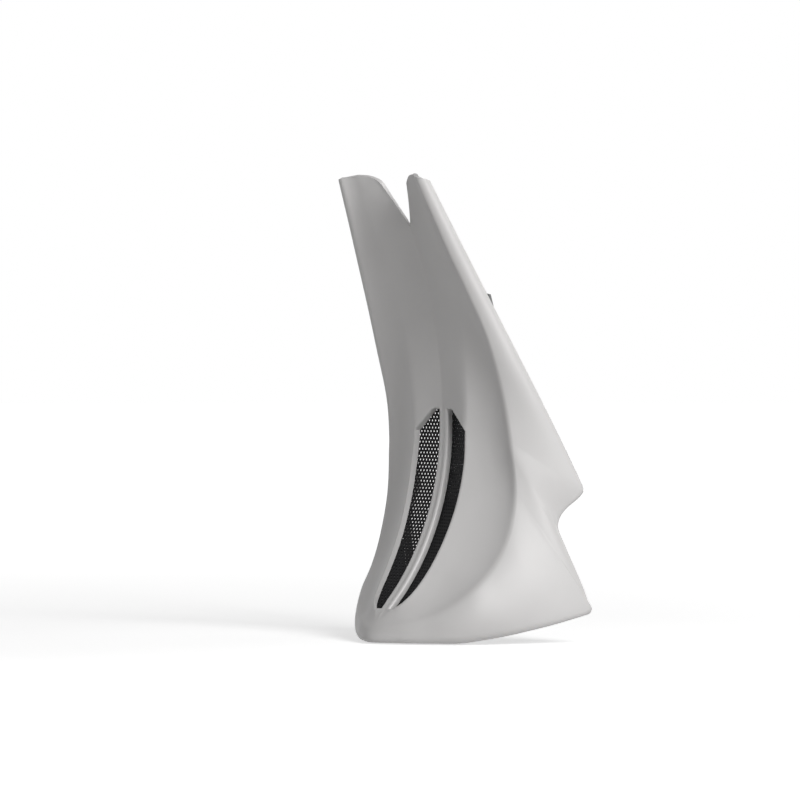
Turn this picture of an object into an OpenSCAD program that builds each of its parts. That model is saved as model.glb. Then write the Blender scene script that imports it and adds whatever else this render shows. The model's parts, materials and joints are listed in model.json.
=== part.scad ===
// Motorcycle chin spoiler: a moulded shell with two meshed vents and hidden tube clamps
// Frame: +X to the rider's left, -Y to the front wheel, +Z up, zero at the bottom centre

/* [Overall size] */

// width across the rear bottom corners
body_w = 299; // [240:1:360]

// depth from the nose to the rear corners
body_d = 186.4; // [150:0.1:220]

// height from the bottom edge to the horn tips
body_h = 493.4; // [420:0.1:560]

/* [Shell] */

// moulded wall
wall = 4; // [3:0.5:6]

// depth of the rim round each vent
rim_depth = 8; // [6:0.5:10]

// rounding of the vent rims
rim_round = 3; // [1.5:0.5:4]

// width of the bar between the vents
bar_w = 13; // [9:1:20]

// width of the turned-in flange along the bottom
flange_w = 28; // [22:1:34]

// width of the turned-in lip along the rear edge
lip_w = 9; // [8:0.5:12]

// rounding of the bottom edge
edge_round = 9; // [7:0.5:11]

// rounding of the side crease
crease_round = 5; // [3:0.5:7]

// hollow of each wing between vent and crease
cove_depth = 9; // [4:0.5:14]

// outward swell of each side panel
side_swell = 4; // [0:0.5:8]

// depth of the cut-out in the rear edge
notch_depth = 36; // [28:1:42]

// height of the sharp upper corner of that cut-out
notch_top = 158; // [148:1:170]

/* [Face] */

// radius of the hollow lower face, seen from the side
lower_r = 262; // [250:1:290]

// radius of the hollow upper face, seen from the side
upper_r = 520; // [480:1:600]

// height of the deepest point of the face
waist_z = 225; // [215:1:235]

// set-back of that point from the nose
waist_y = 104; // [98:1:110]

// sideways lean of each vent floor, outer edge forward
vent_lean = 8; // [4:0.5:10]

// half-width gained per height in the split between the horns
split_slope = 0.457; // [0.38:0.01:0.52]

/* [Vent mesh] */

// thickness of each mesh panel
mesh_t = 1.5; // [1:0.25:2.5]

// spacing of the hexagonal holes
mesh_pitch = 7.8; // [7.4:0.2:12]

// solid web left between two holes
mesh_web = 1.6; // [1:0.2:2.4]

// how far each panel laps over the rim behind the vent
mesh_lap = 7; // [5.5:0.5:8]

// radius of the panel screws
mesh_screw_r = 1.95; // [1.45:0.1:2.45]

/* [Tube clamps] */

// radius of the frame tube the spoiler is clamped to
tube_r = 15.9; // [12.7:0.1:17.5]

// thickness of the rubber liners
liner_t = 1.5; // [1:0.25:3]

// thickness of the steel bands
band_t = 2; // [1.5:0.25:3]

// width of the bands along the tube
band_w = 18; // [14:1:24]

// radius of the clamp bolts
bolt_r = 2.95; // [2.45:0.05:3.95]

// radius of the pillars that carry the clamps
pillar_r = 7; // [6:0.5:7.5]

/* [Lower bracket] */

// distance between the two bracket bolts
bracket_span = 120; // [110:2:124]

// thickness of the steel plate
bracket_t = 3; // [2:0.5:5]

// distance between the two slots for the frame
slot_span = 36; // [30:2:60]

// end-to-end length of each slot
slot_len = 16; // [12:1:20]

// half the width of each slot
slot_r = 4.2; // [3.2:0.1:5.2]

/* [Hidden] */

kx = body_w / 299;
ky = body_d / 186.4;
kz = body_h / 493.4;
mid_y = 95.08 * ky;
half_bar = bar_w / 2;
face_y = waist_y - lower_r;

function lerp(a, b, f) = a + (b - a) * f;
function unit(v) = v / max(norm(v), 0.0001);
function clamp01(f) = max(0, min(1, f));
function sm(a, b, x) = let (f = clamp01((x - a) / (b - a))) f * f * (3 - 2 * f);
function bez(a, b, c, f) = lerp(lerp(a, b, f), lerp(b, c, f), f);
function mirrored(v) = [-v[0], v[1], v[2]];
function knot(t, i) = i < 0 ? mirrored(t[-i]) : t[min(len(t) - 1, i)];

// smooth curve through the knots of a list, one knot per station
function curve(t, s) =
    let (i = max(0, min(floor(s), len(t) - 2)), f = s - i)
    let (a = knot(t, i - 1), b = knot(t, i), c = knot(t, i + 1), d = knot(t, i + 2))
    (2 * b + f * (c - a + f * (2 * a - 5 * b + 4 * c - d + f * (3 * b - a - 3 * c + d)))) / 2;

// side profile of the face: two tangent arcs that share the waist
function face_at(z) =
    let (r = z < waist_z * kz ? lower_r : upper_r, q = (z / kz - waist_z))
    ky * (waist_y - r + sqrt(r * r - q * q));

// stations 0 to 14 run from the chin to the horn tips
centre_z = [30, 37, 46, 60, 83, 115, 155, 200, 245, 290, 337, 381, 420, 455, 484];
ridge_x = [0, 14, 23, 30.5, 35, 38.5, 41.5, 42.5, 41, 43, 45, 45, 45, 44, 44];
ridge_z = [21, 36, 43, 57, 79, 109, 146, 186, 222, 262, 320, 365, 411, 452, 492];
ridge_in = [-4.6, 2, 3.4, 4.5, 5.1, 5.7, 6.1, 6.2, 6, 6.2, 4.5, 5.8, 12.6, 12.8, 7.8];
crease_x = [0, 30, 56, 75, 90, 99, 104.5, 105, 99.5, 95.5, 92, 84, 75, 68, 62];
crease_y = [7, 16, 34, 50, 67, 88, 104, 114, 111.5, 104, 86, 67, 46, 28, 11];
crease_z = [15, 19, 27, 39, 56, 80, 112, 158, 212, 262, 319, 365, 411, 452, 489.5];
skirt_x = [0, 33, 59, 81, 101, 120, 137, 151];
skirt_y = [-1, 14, 33, 53, 78, 106, 141, 183];
skirt_z = [0, 0, 0, 0, 4, 10, 19, 31];

ridge_t = [for (i = [0:14]) [ridge_x[i] * kx, ridge_in[i] * ky, ridge_z[i] * kz]];
crease_t = [for (i = [0:14]) [crease_x[i] * kx, crease_y[i] * ky, crease_z[i] * kz]];
skirt_t = [for (i = [0:7]) [skirt_x[i] * kx, skirt_y[i] * ky, skirt_z[i] * kz]];
centre_t = [for (i = [0:14]) [0, 0, centre_z[i] * kz]];

split_station = 12.5;
split_z = curve(centre_t, split_station)[2];

function centre(s) =
    let (z = curve(centre_t, s)[2])
    [kx * split_slope * max(0, (z - split_z) / kz), face_at(z), z];

function ridge(s) =
    let (p = curve(ridge_t, s))
    [p[0], face_at(p[2]) - p[1], p[2]];

function crease(s) = curve(crease_t, s);

corner_low = skirt_t[7];
corner_mid = [141 * kx, 182.5 * ky, notch_top * kz];
corner_top = [67 * kx, 30 * ky, 485.7 * kz];

function rear(z) =
    z < corner_mid[2]
        ? lerp(corner_low, corner_mid, (z - corner_low[2]) / (corner_mid[2] - corner_low[2]))
        : let (f = (z - corner_mid[2]) / (corner_top[2] - corner_mid[2]))
          lerp(corner_mid, corner_top, f) + [0, 22 * ky * f * pow(1 - f, 3), 0];

function rear_z(s) =
    s < 8 ? lerp(corner_low[2], corner_mid[2], s - 7) : lerp(corner_mid[2], corner_top[2], (s - 8) / 6);

function soft_min(a, b, k) = let (h = max(k - abs(a - b), 0) / k) min(a, b) - h * h * k / 4;
function soft_pos(a, k) = let (h = max(k - abs(a), 0) / k) max(a, 0) + h * h * k / 4;

// how far the rear edge is cut back at a height
function cut_back(z) =
    let (a = (z / kz - 36) * notch_depth / 94, b = (notch_top - z / kz) * notch_depth / 27.5)
    soft_pos(soft_min(a, b, 26), 11);

function edge_raw(s) = s <= 7 ? curve(skirt_t, s) : rear(rear_z(s));

// the corner where the bottom edge turns up into the rear edge is rounded
function edge_path(s) =
    s > 6.82 && s < 7.07
        ? bez(edge_raw(6.82), corner_low, edge_raw(7.07), (s - 6.82) / 0.25)
        : edge_raw(s);

function edge(s) =
    let (q = edge_path(s), p = [q[0], q[1], max(0, q[2])], e = crease(s))
    s <= 7 ? p : p - unit([p[0] - e[0], p[1] - e[1], 0]) * cut_back(p[2]) * sm(7, 7.1, s);

function turn_in(s) =
    let (b = edge(s), e = crease(s), f = sm(5, 7, s))
    let (low = unit([-b[0], 150 * ky - b[1], 0]), d = unit([b[0] - e[0], b[1] - e[1], 0]))
    unit(lerp(low, [-d[1], d[0], 0], f));

function turn_w(s) = lerp(flange_w, lip_w, sm(5.6, 7.3, s));
function edge_r(s) = lerp(edge_round, 5, sm(5, 7.3, s));
function crease_r(s) = crease_round * sm(-0.6, 1.5, s);
function cove(s) = cove_depth * (sm(0, 4, s) - 0.6 * sm(7.5, 12, s));
function narrow(s) = max(0.2, min(1, (crease(s)[0] - ridge(s)[0]) / 40));

function wing_mid(s) =
    lerp(ridge(s), crease(s), 0.62) + [-0.15, 1, -0.1] * cove(s);

function side_mid(s) =
    let (e = crease(s), b = edge(s), d = unit([b[1] - e[1], e[0] - b[0], 0]))
    (e + b) / 2 + d * 2 * side_swell * sm(1, 4, s);

// one row of the face, from the middle out to the turned-in flange
function row(s) =
    let (c = centre(s), v = ridge(s), e = crease(s), b = edge(s), m = wing_mid(s), n = side_mid(s))
    let (f1 = min(0.45, half_bar / max(v[0] - c[0], 0.01)))
    let (k = 1 - sm(1, 2, s) + sm(8.1, 9.4, s), t = sm(13, 14, s))
    let (a = lerp(c, v, f1), v1 = [a[0], a[1], lerp(c[2], a[2], k)])
    let (w = narrow(s), soft = s < 0.95 || s > 8.05 ? 0.5 : 0)
    let (p3 = unit(m - v), cr = crease_r(s), er = edge_r(s))
    let (e0 = e + unit(m - e) * cr, e2 = e + unit(n - e) * cr)
    let (b0 = b + unit(n - b) * er, b2 = b + turn_in(s) * er)
    let (v7 = v + p3 * 1.6 * w, v8 = v + p3 * 4.8 * w)
    let (mid = [for (g = [0.25, 0.5, 0.75])
        let (q = lerp(max(0, (g - 0.25) / 0.75), g, k), r = lerp(q, 1 - pow(1 - q, 3), t))
        [lerp(v1[0], v[0], g), lerp(v1[1], v[1], g), lerp(v1[2], v[2], r)]])
    concat(
        [c, lerp(c, v1, 0.6), v1],
        mid,
        [lerp(v, (mid[2] + v8) / 2, soft), v7, v8],
        [for (g = [0.25, 0.5, 0.75]) bez(v8, m, e0, g)],
        [e0, bez(e0, e, e2, 0.5), e2],
        [for (g = [0.25, 0.5, 0.75]) bez(e2, n, b0, g)],
        [b0, bez(b0, b, b2, 0.33), bez(b0, b, b2, 0.67), b2],
        [b + turn_in(s) * turn_w(s)]
    );

vent_lo = 1;
vent_hi = 8;
stations = concat(
    [0, 0.25, 0.5, 0.74, 0.9, 0.95, vent_lo, 1.12, 1.3, 1.5, 1.75],
    [for (s = [2:0.25:2.75]) s],
    [for (s = [9:18]) s / 3],
    [6.3, 6.6, 6.82, 6.9, 6.98, 7.07, 7.17, 7.27, 7.38, 7.49, 7.6, 7.69, 7.77, 7.84, 7.9, 7.95],
    [vent_hi, 8.06, 8.17, 8.36, 8.65],
    [for (s = [9:0.4:11.8]) s],
    [12.15, split_station, 12.7, 12.95, 13.2, 13.45, 13.7, 13.85, 13.95, 14]
);
grid = [for (s = stations) row(s)];
rows = len(grid);
cols = len(grid[0]);
split_row = search(split_station, stations)[0];
lo_row = search(vent_lo, stations)[0];
hi_row = search(vent_hi, stations)[0];
v1_col = 2;
v2_col = 6;

function cell(i, j) =
    i < 0 ? mirrored(grid[-i][j])
    : j < 0 ? (i <= split_row ? mirrored(grid[i][-j]) : grid[i][0])
    : grid[min(i, rows - 1)][min(j, cols - 1)];

function out(i, j) = unit(cross(cell(i, j + 1) - cell(i, j - 1), cell(i + 1, j) - cell(i - 1, j)));

function in_vent(i, j) = i >= lo_row && i <= hi_row && j >= v1_col && j <= v2_col;

function rolled(i, j) =
    in_vent(i, j) && (i == lo_row || i == hi_row || j == v1_col || j == v2_col) ? rim_round
    : i >= lo_row && i <= hi_row && j == v2_col + 1 ? rim_round * 0.3
    : 0;

// the vent floors lie on one leaning cylinder, on which the mesh sits
seat_r = lower_r * cos(vent_lean) + rim_depth;

function seat_y(x, z) =
    let (q = z / kz - waist_z)
    ky * (face_y + (sqrt(seat_r * seat_r - q * q) - x / kx * sin(vent_lean)) / cos(vent_lean));

function seat(i, j) =
    let (p = grid[i][j], z = kz * (waist_z + (p[2] / kz - waist_z) * (1 + rim_depth / lower_r)))
    let (w = narrow(stations[i]), v = grid[i][v2_col])
    let (x = j == v2_col + 1 ? v[0] + 5 * w : j == v2_col + 2 ? v[0] + 9 * w : p[0])
    [x, seat_y(x, z), z];

function outer(i, j) = grid[i][j] - out(i, j) * rolled(i, j);

function inner(i, j) =
    i >= lo_row - 2 && i <= hi_row + 2 && j <= v2_col + 2
        ? seat(i, j)
        : grid[i][j] - out(i, j) * wall;

function flat_index(i, j) = i * cols + j;
layer = rows * cols;
function id(layer_no, side, i, j) =
    flat_index(i, j) + layer * (2 * layer_no + (side > 0 || i == 0 || (j == 0 && i <= split_row) ? 0 : 1));

function open_cell(i, j) = i >= lo_row && i < hi_row && j >= v1_col && j < v2_col;

function quad(a, b, c, d, flip) = flip ? [[a, c, b], [a, d, c]] : [[a, b, c], [a, c, d]];

function skin(k, side) = [
    for (i = [0:rows - 2], j = [0:cols - 2])
        if (!open_cell(i, j))
            each quad(id(k, side, i, j), id(k, side, i, j + 1), id(k, side, i + 1, j + 1),
                id(k, side, i + 1, j), (side > 0) == (k == 0))
];

function wall_between(side, a, b, flip) =
    quad(id(0, side, a[0], a[1]), id(0, side, b[0], b[1]), id(1, side, b[0], b[1]), id(1, side, a[0], a[1]),
        flip);

function rims(side) = let (g = side < 0) concat(
    [for (i = [0:rows - 2]) each wall_between(side, [i, cols - 1], [i + 1, cols - 1], g)],
    [for (j = [0:cols - 2]) each wall_between(side, [rows - 1, j + 1], [rows - 1, j], g)],
    [for (i = [split_row:rows - 2]) each wall_between(side, [i + 1, 0], [i, 0], g)],
    [for (i = [lo_row:hi_row - 1]) each wall_between(side, [i, v1_col], [i + 1, v1_col], g)],
    [for (i = [lo_row:hi_row - 1]) each wall_between(side, [i + 1, v2_col], [i, v2_col], g)],
    [for (j = [v1_col:v2_col - 1]) each wall_between(side, [lo_row, j + 1], [lo_row, j], g)],
    [for (j = [v1_col:v2_col - 1]) each wall_between(side, [hi_row, j], [hi_row, j + 1], g)]
);

module placed(side) {
    translate([0, -mid_y, 0])
    mirror([side > 0 ? 0 : 1, 0, 0])
    children();
}

// the vent floor frame: X points rearward from the axis, Y up, Z along the axis
module on_floor(side) {
    placed(side)
    scale([kx, ky, kz])
    multmatrix([
        [sin(vent_lean), 0, cos(vent_lean), 0],
        [cos(vent_lean), 0, -sin(vent_lean), face_y],
        [0, 1, 0, waist_z]
    ])
    children();
}

function floor_angle(z) = asin((z - waist_z) / seat_r);
function floor_shift(x, z) = (x - seat_r * cos(floor_angle(z)) * sin(vent_lean)) / cos(vent_lean);
function raised(z) = waist_z + (z - waist_z) * (1 + rim_depth / lower_r);

// a point of the floor, with Z pointing rearward out of it
module at_floor(side, x, z) {
    on_floor(side)
    rotate([0, 0, floor_angle(z)])
    translate([seat_r, 0, floor_shift(x, z)])
    rotate([0, 90, 0])
    children();
}

function rim_x(s) = ridge(s)[0] / kx;
function rim_z(s) = raised(ridge(s)[2] / kz);
vent_top = raised(centre(vent_hi)[2] / kz);
mesh_low = 28.5;
mesh_high = vent_top + 6.5;
mesh_inner = 0.8;
hole_r = (mesh_pitch - mesh_web) / sqrt(3);
seam = 0.05;

mesh_outline = concat(
    [[mesh_inner, mesh_low]],
    [for (s = [1:0.5:8]) [rim_x(s) + mesh_lap * narrow(s), s == 1 ? mesh_low : rim_z(s)]],
    [[17 + mesh_lap, vent_top + 2], [17, mesh_high], [mesh_inner, mesh_high]]
);
rim_line = concat([for (s = [1:0.25:8]) [rim_z(s), rim_x(s)]], [[vent_top, 15]]);

hole_step = mesh_pitch * sqrt(3) / 2 / seat_r * 180 / PI;
hole_spots = [
    for (m = [0:36], n = [-6:6])
        let (a = floor_angle(36) + m * hole_step, z = waist_z + seat_r * sin(a))
        let (c = n * mesh_pitch + (m % 2) * mesh_pitch / 2 - 9)
        let (x = seat_r * cos(a) * sin(vent_lean) + c * cos(vent_lean))
        if (x > half_bar + hole_r * 0.8 && x < lookup(z, rim_line) - hole_r * 0.8 && z < vent_top - hole_r)
            [a, c]
];

screw_stations = [3.2, 5, 7];
screw_spots = concat(
    [for (s = screw_stations) [rim_x(s) + 3.4, rim_z(s)]],
    [[10.5, vent_top + 3.6]]
);

module vent_mesh(side) {
    color([0.05, 0.05, 0.055])
    difference() {
        intersection() {
            on_floor(side)
            rotate([0, 0, floor_angle(24)])
            rotate_extrude(angle = floor_angle(262) - floor_angle(24), $fn = 180)
            translate([seat_r + seam, -60])
            square([mesh_t, 110]);
            placed(side)
            scale([kx, ky, kz])
            translate([0, 130, 0])
            rotate([90, 0, 0])
            linear_extrude(height = 130)
            polygon(mesh_outline);
        }
        for (h = hole_spots) {
            on_floor(side)
            rotate([0, 0, h[0]])
            translate([seat_r - 1, 0, h[1]])
            rotate([0, 90, 0])
            cylinder(r = hole_r, h = mesh_t + 2, $fn = 6);
        }
        for (p = screw_spots) {
            at_floor(side, p[0], p[1])
            translate([0, 0, -1])
            cylinder(r = mesh_screw_r + 0.15, h = mesh_t + 2, $fn = 32);
        }
    }
}

module left_mesh() {
    vent_mesh(1);
}

module right_mesh() {
    vent_mesh(-1);
}

screw_depth = 3.6;
mesh_washer_t = 0.8;
mesh_head_h = 2.4;

module screw_holes(side) {
    for (p = screw_spots) {
        at_floor(side, p[0], p[1])
        translate([0, 0, -screw_depth])
        cylinder(r = mesh_screw_r + seam, h = screw_depth + 2, $fn = 32);
    }
}

module mesh_washers() {
    color([0.72, 0.73, 0.75])
    for (side = [-1, 1], p = screw_spots) {
        at_floor(side, p[0], p[1])
        translate([0, 0, 2 * seam + mesh_t])
        difference() {
            cylinder(r = 2 * mesh_screw_r, h = mesh_washer_t, $fn = 48);
            translate([0, 0, -1])
            cylinder(r = mesh_screw_r + 0.15, h = mesh_washer_t + 2, $fn = 32);
        }
    }
}

module mesh_screws() {
    color([0.3, 0.3, 0.32])
    for (side = [-1, 1], p = screw_spots) {
        at_floor(side, p[0], p[1])
        translate([0, 0, 3 * seam + mesh_t + mesh_washer_t])
        difference() {
            union() {
                cylinder(r = 1.75 * mesh_screw_r, h = mesh_head_h, $fn = 48);
                translate([0, 0, 0.3 - screw_depth - mesh_t - mesh_washer_t])
                cylinder(r = mesh_screw_r, h = screw_depth + mesh_t + mesh_washer_t, $fn = 32);
            }
            translate([0, 0, mesh_head_h - 1.4])
            cylinder(r = 1.4, h = 2, $fn = 6);
        }
    }
}

// the frame tube passes behind each horn along one straight line
tube_top = [38 * kx, 73.4 * ky, 485 * kz];
tube_low = [54.5 * kx, 165.5 * ky, 156 * kz];
tube_dir = unit(tube_low - tube_top);

function between(r, u) = lerp(r[floor(u)], r[floor(u) + 1], u - floor(u));
function face_point(s, u) = between(row(s), u);

function face_out(s, u) =
    unit(cross(face_point(s, u + 0.4) - face_point(s, u - 0.4), face_point(s + 0.1, u) - face_point(s - 0.1, u)));

// each clamp hangs on a pillar that stands on the inner wall
pillar_spots = [[10.3, 2.42], [8.72, 2.9]];
pillar_foot = [for (p = pillar_spots) face_point(p[0], p[1]) - face_out(p[0], p[1]) * (wall + 0.1)];
pillar_axis = [for (p = pillar_spots) -face_out(p[0], p[1])];

function height_of(k) =
    let (d = pillar_foot[k] - tube_top, p = pillar_axis[k], c = tube_dir * p)
    (c * (d * tube_dir) - d * p) / (1 - c * c);

pillar_tip = [for (k = [0, 1]) pillar_foot[k] + pillar_axis[k] * height_of(k)];
ring_at = [for (k = [0, 1]) tube_top + tube_dir * ((pillar_tip[k] - tube_top) * tube_dir)];
ear_dir = [for (k = [0, 1]) unit(pillar_tip[k] - ring_at[k])];
reach = [for (k = [0, 1]) norm(pillar_tip[k] - ring_at[k])];

module framed(o, x, z) {
    y = cross(z, x);
    multmatrix([[x[0], y[0], z[0], o[0]], [x[1], y[1], z[1], o[1]], [x[2], y[2], z[2], o[2]]])
    children();
}

module in_ring(side, k) {
    placed(side)
    framed(ring_at[k], ear_dir[k], tube_dir)
    children();
}

module in_ear(side, k) {
    placed(side)
    framed(ring_at[k], ear_dir[k], pillar_axis[k])
    children();
}

liner_r = tube_r + liner_t;
band_r = liner_r + seam + band_t;
ear_t = band_t;
slit = 0.3;
insert_r = bolt_r + 1.6;
insert_h = 11;
foot_h = 3;

module pillar(side, k) {
    top = height_of(k) - ear_t - slit / 2 - seam;
    color([0.12, 0.12, 0.13])
    placed(side)
    framed(pillar_foot[k], ear_dir[k], pillar_axis[k])
    difference() {
        union() {
            cylinder(r = pillar_r, h = top, $fn = 72);
            cylinder(r = pillar_r + 2.5, h = foot_h, $fn = 72);
        }
        translate([0, 0, top - insert_h - 1])
        cylinder(r = insert_r + seam, h = insert_h + 3, $fn = 48);
    }
}

module left_upper_pillar() {
    pillar(1, 0);
}

module left_lower_pillar() {
    pillar(1, 1);
}

module right_upper_pillar() {
    pillar(-1, 0);
}

module right_lower_pillar() {
    pillar(-1, 1);
}

module liner(side, k) {
    color([0.04, 0.04, 0.045])
    difference() {
        in_ring(side, k)
        difference() {
            cylinder(r = liner_r, h = band_w + 2, center = true, $fn = 96);
            cylinder(r = tube_r, h = band_w + 6, center = true, $fn = 96);
        }
        in_ear(side, k)
        translate([0, -band_w, -slit])
        cube([liner_r + 4, band_w * 2, slit * 2]);
    }
}

module left_upper_liner() {
    liner(1, 0);
}

module left_lower_liner() {
    liner(1, 1);
}

module right_upper_liner() {
    liner(-1, 0);
}

module right_lower_liner() {
    liner(-1, 1);
}

module band(side, k) {
    color([0.13, 0.13, 0.14])
    difference() {
        union() {
            in_ring(side, k)
            cylinder(r = band_r, h = band_w, center = true, $fn = 96);
            in_ear(side, k)
            translate([liner_r, -band_w / 2 + 1, -ear_t - slit / 2])
            cube([reach[k] - liner_r, band_w - 2, 2 * ear_t + slit]);
            in_ear(side, k)
            translate([reach[k], 0, -ear_t - slit / 2])
            cylinder(r = band_w / 2 - 1, h = 2 * ear_t + slit, $fn = 72);
        }
        in_ring(side, k)
        cylinder(r = liner_r + seam, h = band_w + 30, center = true, $fn = 96);
        in_ear(side, k)
        translate([0, -band_w, -slit / 2])
        cube([reach[k] + band_w, band_w * 2, slit]);
        in_ear(side, k)
        translate([reach[k], 0, -10])
        cylinder(r = bolt_r + 0.3, h = 20, $fn = 48);
    }
}

module left_upper_band() {
    band(1, 0);
}

module left_lower_band() {
    band(1, 1);
}

module right_upper_band() {
    band(-1, 0);
}

module right_lower_band() {
    band(-1, 1);
}

module pillar_inserts() {
    color([0.78, 0.62, 0.3])
    for (side = [-1, 1], k = [0, 1]) {
        in_ear(side, k)
        translate([reach[k], 0, -ear_t - slit / 2 - 2 * seam - insert_h])
        difference() {
            cylinder(r = insert_r, h = insert_h, $fn = 48);
            translate([0, 0, -1])
            cylinder(r = bolt_r + seam, h = insert_h + 2, $fn = 48);
        }
    }
}

band_washer_t = 1.2;

module band_washers() {
    color([0.72, 0.73, 0.75])
    for (side = [-1, 1], k = [0, 1]) {
        in_ear(side, k)
        translate([reach[k], 0, ear_t + slit / 2 + seam])
        difference() {
            cylinder(r = 2.2 * bolt_r, h = band_washer_t, $fn = 60);
            translate([0, 0, -1])
            cylinder(r = bolt_r + 0.25, h = band_washer_t + 2, $fn = 48);
        }
    }
}

module cap_bolt(length) {
    difference() {
        union() {
            cylinder(r = bolt_r * 1.7, h = bolt_r * 1.5, $fn = 60);
            translate([0, 0, -length])
            cylinder(r = bolt_r, h = length, $fn = 48);
        }
        translate([0, 0, bolt_r * 1.5 - 2.4])
        cylinder(r = bolt_r * 0.95, h = 4, $fn = 6);
    }
}

module band_bolts() {
    color([0.3, 0.3, 0.32])
    for (side = [-1, 1], k = [0, 1]) {
        in_ear(side, k)
        translate([reach[k], 0, ear_t + slit / 2 + band_washer_t + 2 * seam])
        cap_bolt(band_washer_t + 2 * ear_t + slit + insert_h - 1);
    }
}

// the bracket lies on the flat part of the turned-in flange
bracket_y = 58 * ky;
pad_r = 8;
pad_t = 2;
tongue_w = slot_span + slot_len + 14;
tongue_y = 50 * ky;
csk_h = 3;
bracket_z = wall + pad_t + 2 * seam;

module at_bracket_bolts() {
    for (side = [-1, 1]) {
        translate([side * bracket_span / 2, bracket_y - mid_y, 0])
        children();
    }
}

module bracket_holes() {
    at_bracket_bolts()
    union() {
        translate([0, 0, -1])
        cylinder(r = bolt_r + 0.15, h = wall + 3, $fn = 48);
        cylinder(r1 = bolt_r + csk_h + 0.1, r2 = bolt_r + 0.1, h = csk_h, $fn = 60);
        translate([0, 0, -1])
        cylinder(r = bolt_r + csk_h + 0.1, h = 1, $fn = 60);
    }
}

module bracket_pads() {
    color([0.04, 0.04, 0.045])
    at_bracket_bolts()
    translate([0, 0, wall + seam])
    difference() {
        cylinder(r = pad_r, h = pad_t, $fn = 72);
        translate([0, 0, -1])
        cylinder(r = bolt_r + 0.15, h = pad_t + 2, $fn = 48);
    }
}

module lower_bracket() {
    color([0.13, 0.13, 0.14])
    difference() {
        union() {
            at_bracket_bolts()
            translate([0, 0, bracket_z])
            cylinder(r = pad_r + 1, h = bracket_t, $fn = 72);
            translate([-bracket_span / 2, bracket_y - mid_y - pad_r, bracket_z])
            cube([bracket_span, 2 * pad_r, bracket_t]);
            translate([-tongue_w / 2, bracket_y - mid_y, bracket_z])
            cube([tongue_w, tongue_y, bracket_t]);
        }
        at_bracket_bolts()
        cylinder(r = bolt_r + 0.15, h = 30, $fn = 48);
        for (side = [-1, 1]) {
            translate([side * slot_span / 2, bracket_y + tongue_y - mid_y - 14, 0])
            slot_cut();
        }
    }
}

module slot_cut() {
    half = slot_len / 2 - slot_r;
    union() {
        translate([-half, -slot_r, 0])
        cube([2 * half, 2 * slot_r, 30]);
        for (x = [-half, half]) {
            translate([x, 0, 0])
            cylinder(r = slot_r, h = 30, $fn = 60);
        }
    }
}

nut_h = 5;
washer_z = bracket_z + bracket_t + seam;

module bracket_bolts() {
    color([0.3, 0.3, 0.32])
    at_bracket_bolts()
    difference() {
        union() {
            translate([0, 0, seam])
            cylinder(r1 = bolt_r + csk_h - seam, r2 = bolt_r, h = csk_h - seam, $fn = 60);
            translate([0, 0, 1])
            cylinder(r = bolt_r, h = washer_z + nut_h + 2, $fn = 48);
        }
        translate([0, 0, -1])
        cylinder(r = bolt_r * 0.65, h = 3, $fn = 6);
    }
}

module bracket_washers() {
    color([0.72, 0.73, 0.75])
    at_bracket_bolts()
    translate([0, 0, washer_z])
    difference() {
        cylinder(r = 2.2 * bolt_r, h = band_washer_t, $fn = 60);
        translate([0, 0, -1])
        cylinder(r = bolt_r + 0.25, h = band_washer_t + 2, $fn = 48);
    }
}

module bracket_nuts() {
    color([0.72, 0.73, 0.75])
    at_bracket_bolts()
    translate([0, 0, washer_z + band_washer_t + seam])
    difference() {
        cylinder(r = bolt_r * 1.95, h = nut_h, $fn = 6);
        translate([0, 0, -1])
        cylinder(r = bolt_r + seam, h = nut_h + 2, $fn = 48);
    }
}

module moulding() {
    translate([0, -mid_y, 0])
    polyhedron(
        points = concat(
            [for (i = [0:rows - 1], j = [0:cols - 1]) outer(i, j)],
            [for (i = [0:rows - 1], j = [0:cols - 1]) mirrored(outer(i, j))],
            [for (i = [0:rows - 1], j = [0:cols - 1]) inner(i, j)],
            [for (i = [0:rows - 1], j = [0:cols - 1]) mirrored(inner(i, j))]
        ),
        faces = concat(skin(0, 1), skin(0, -1), skin(1, 1), skin(1, -1), rims(1), rims(-1)),
        convexity = 12
    );
}

module shell() {
    color([0.78, 0.78, 0.8])
    difference() {
        moulding();
        screw_holes(1);
        screw_holes(-1);
        bracket_holes();
    }
}

shell();
left_mesh();
right_mesh();
mesh_washers();
mesh_screws();
left_upper_pillar();
left_lower_pillar();
right_upper_pillar();
right_lower_pillar();
left_upper_liner();
left_lower_liner();
right_upper_liner();
right_lower_liner();
left_upper_band();
left_lower_band();
right_upper_band();
right_lower_band();
pillar_inserts();
band_washers();
band_bolts();
bracket_pads();
lower_bracket();
bracket_bolts();
bracket_washers();
bracket_nuts();
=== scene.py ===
"""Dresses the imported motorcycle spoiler: smooth painted shell, fine hexagonal mesh, finishes and studio."""

import enum
import json
import logging
import math
from dataclasses import dataclass, field
from typing import Sequence, TypeVar

import bmesh
import bpy
import numpy as np
from mathutils import Matrix, Vector
from mathutils.bvhtree import BVHTree

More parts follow.
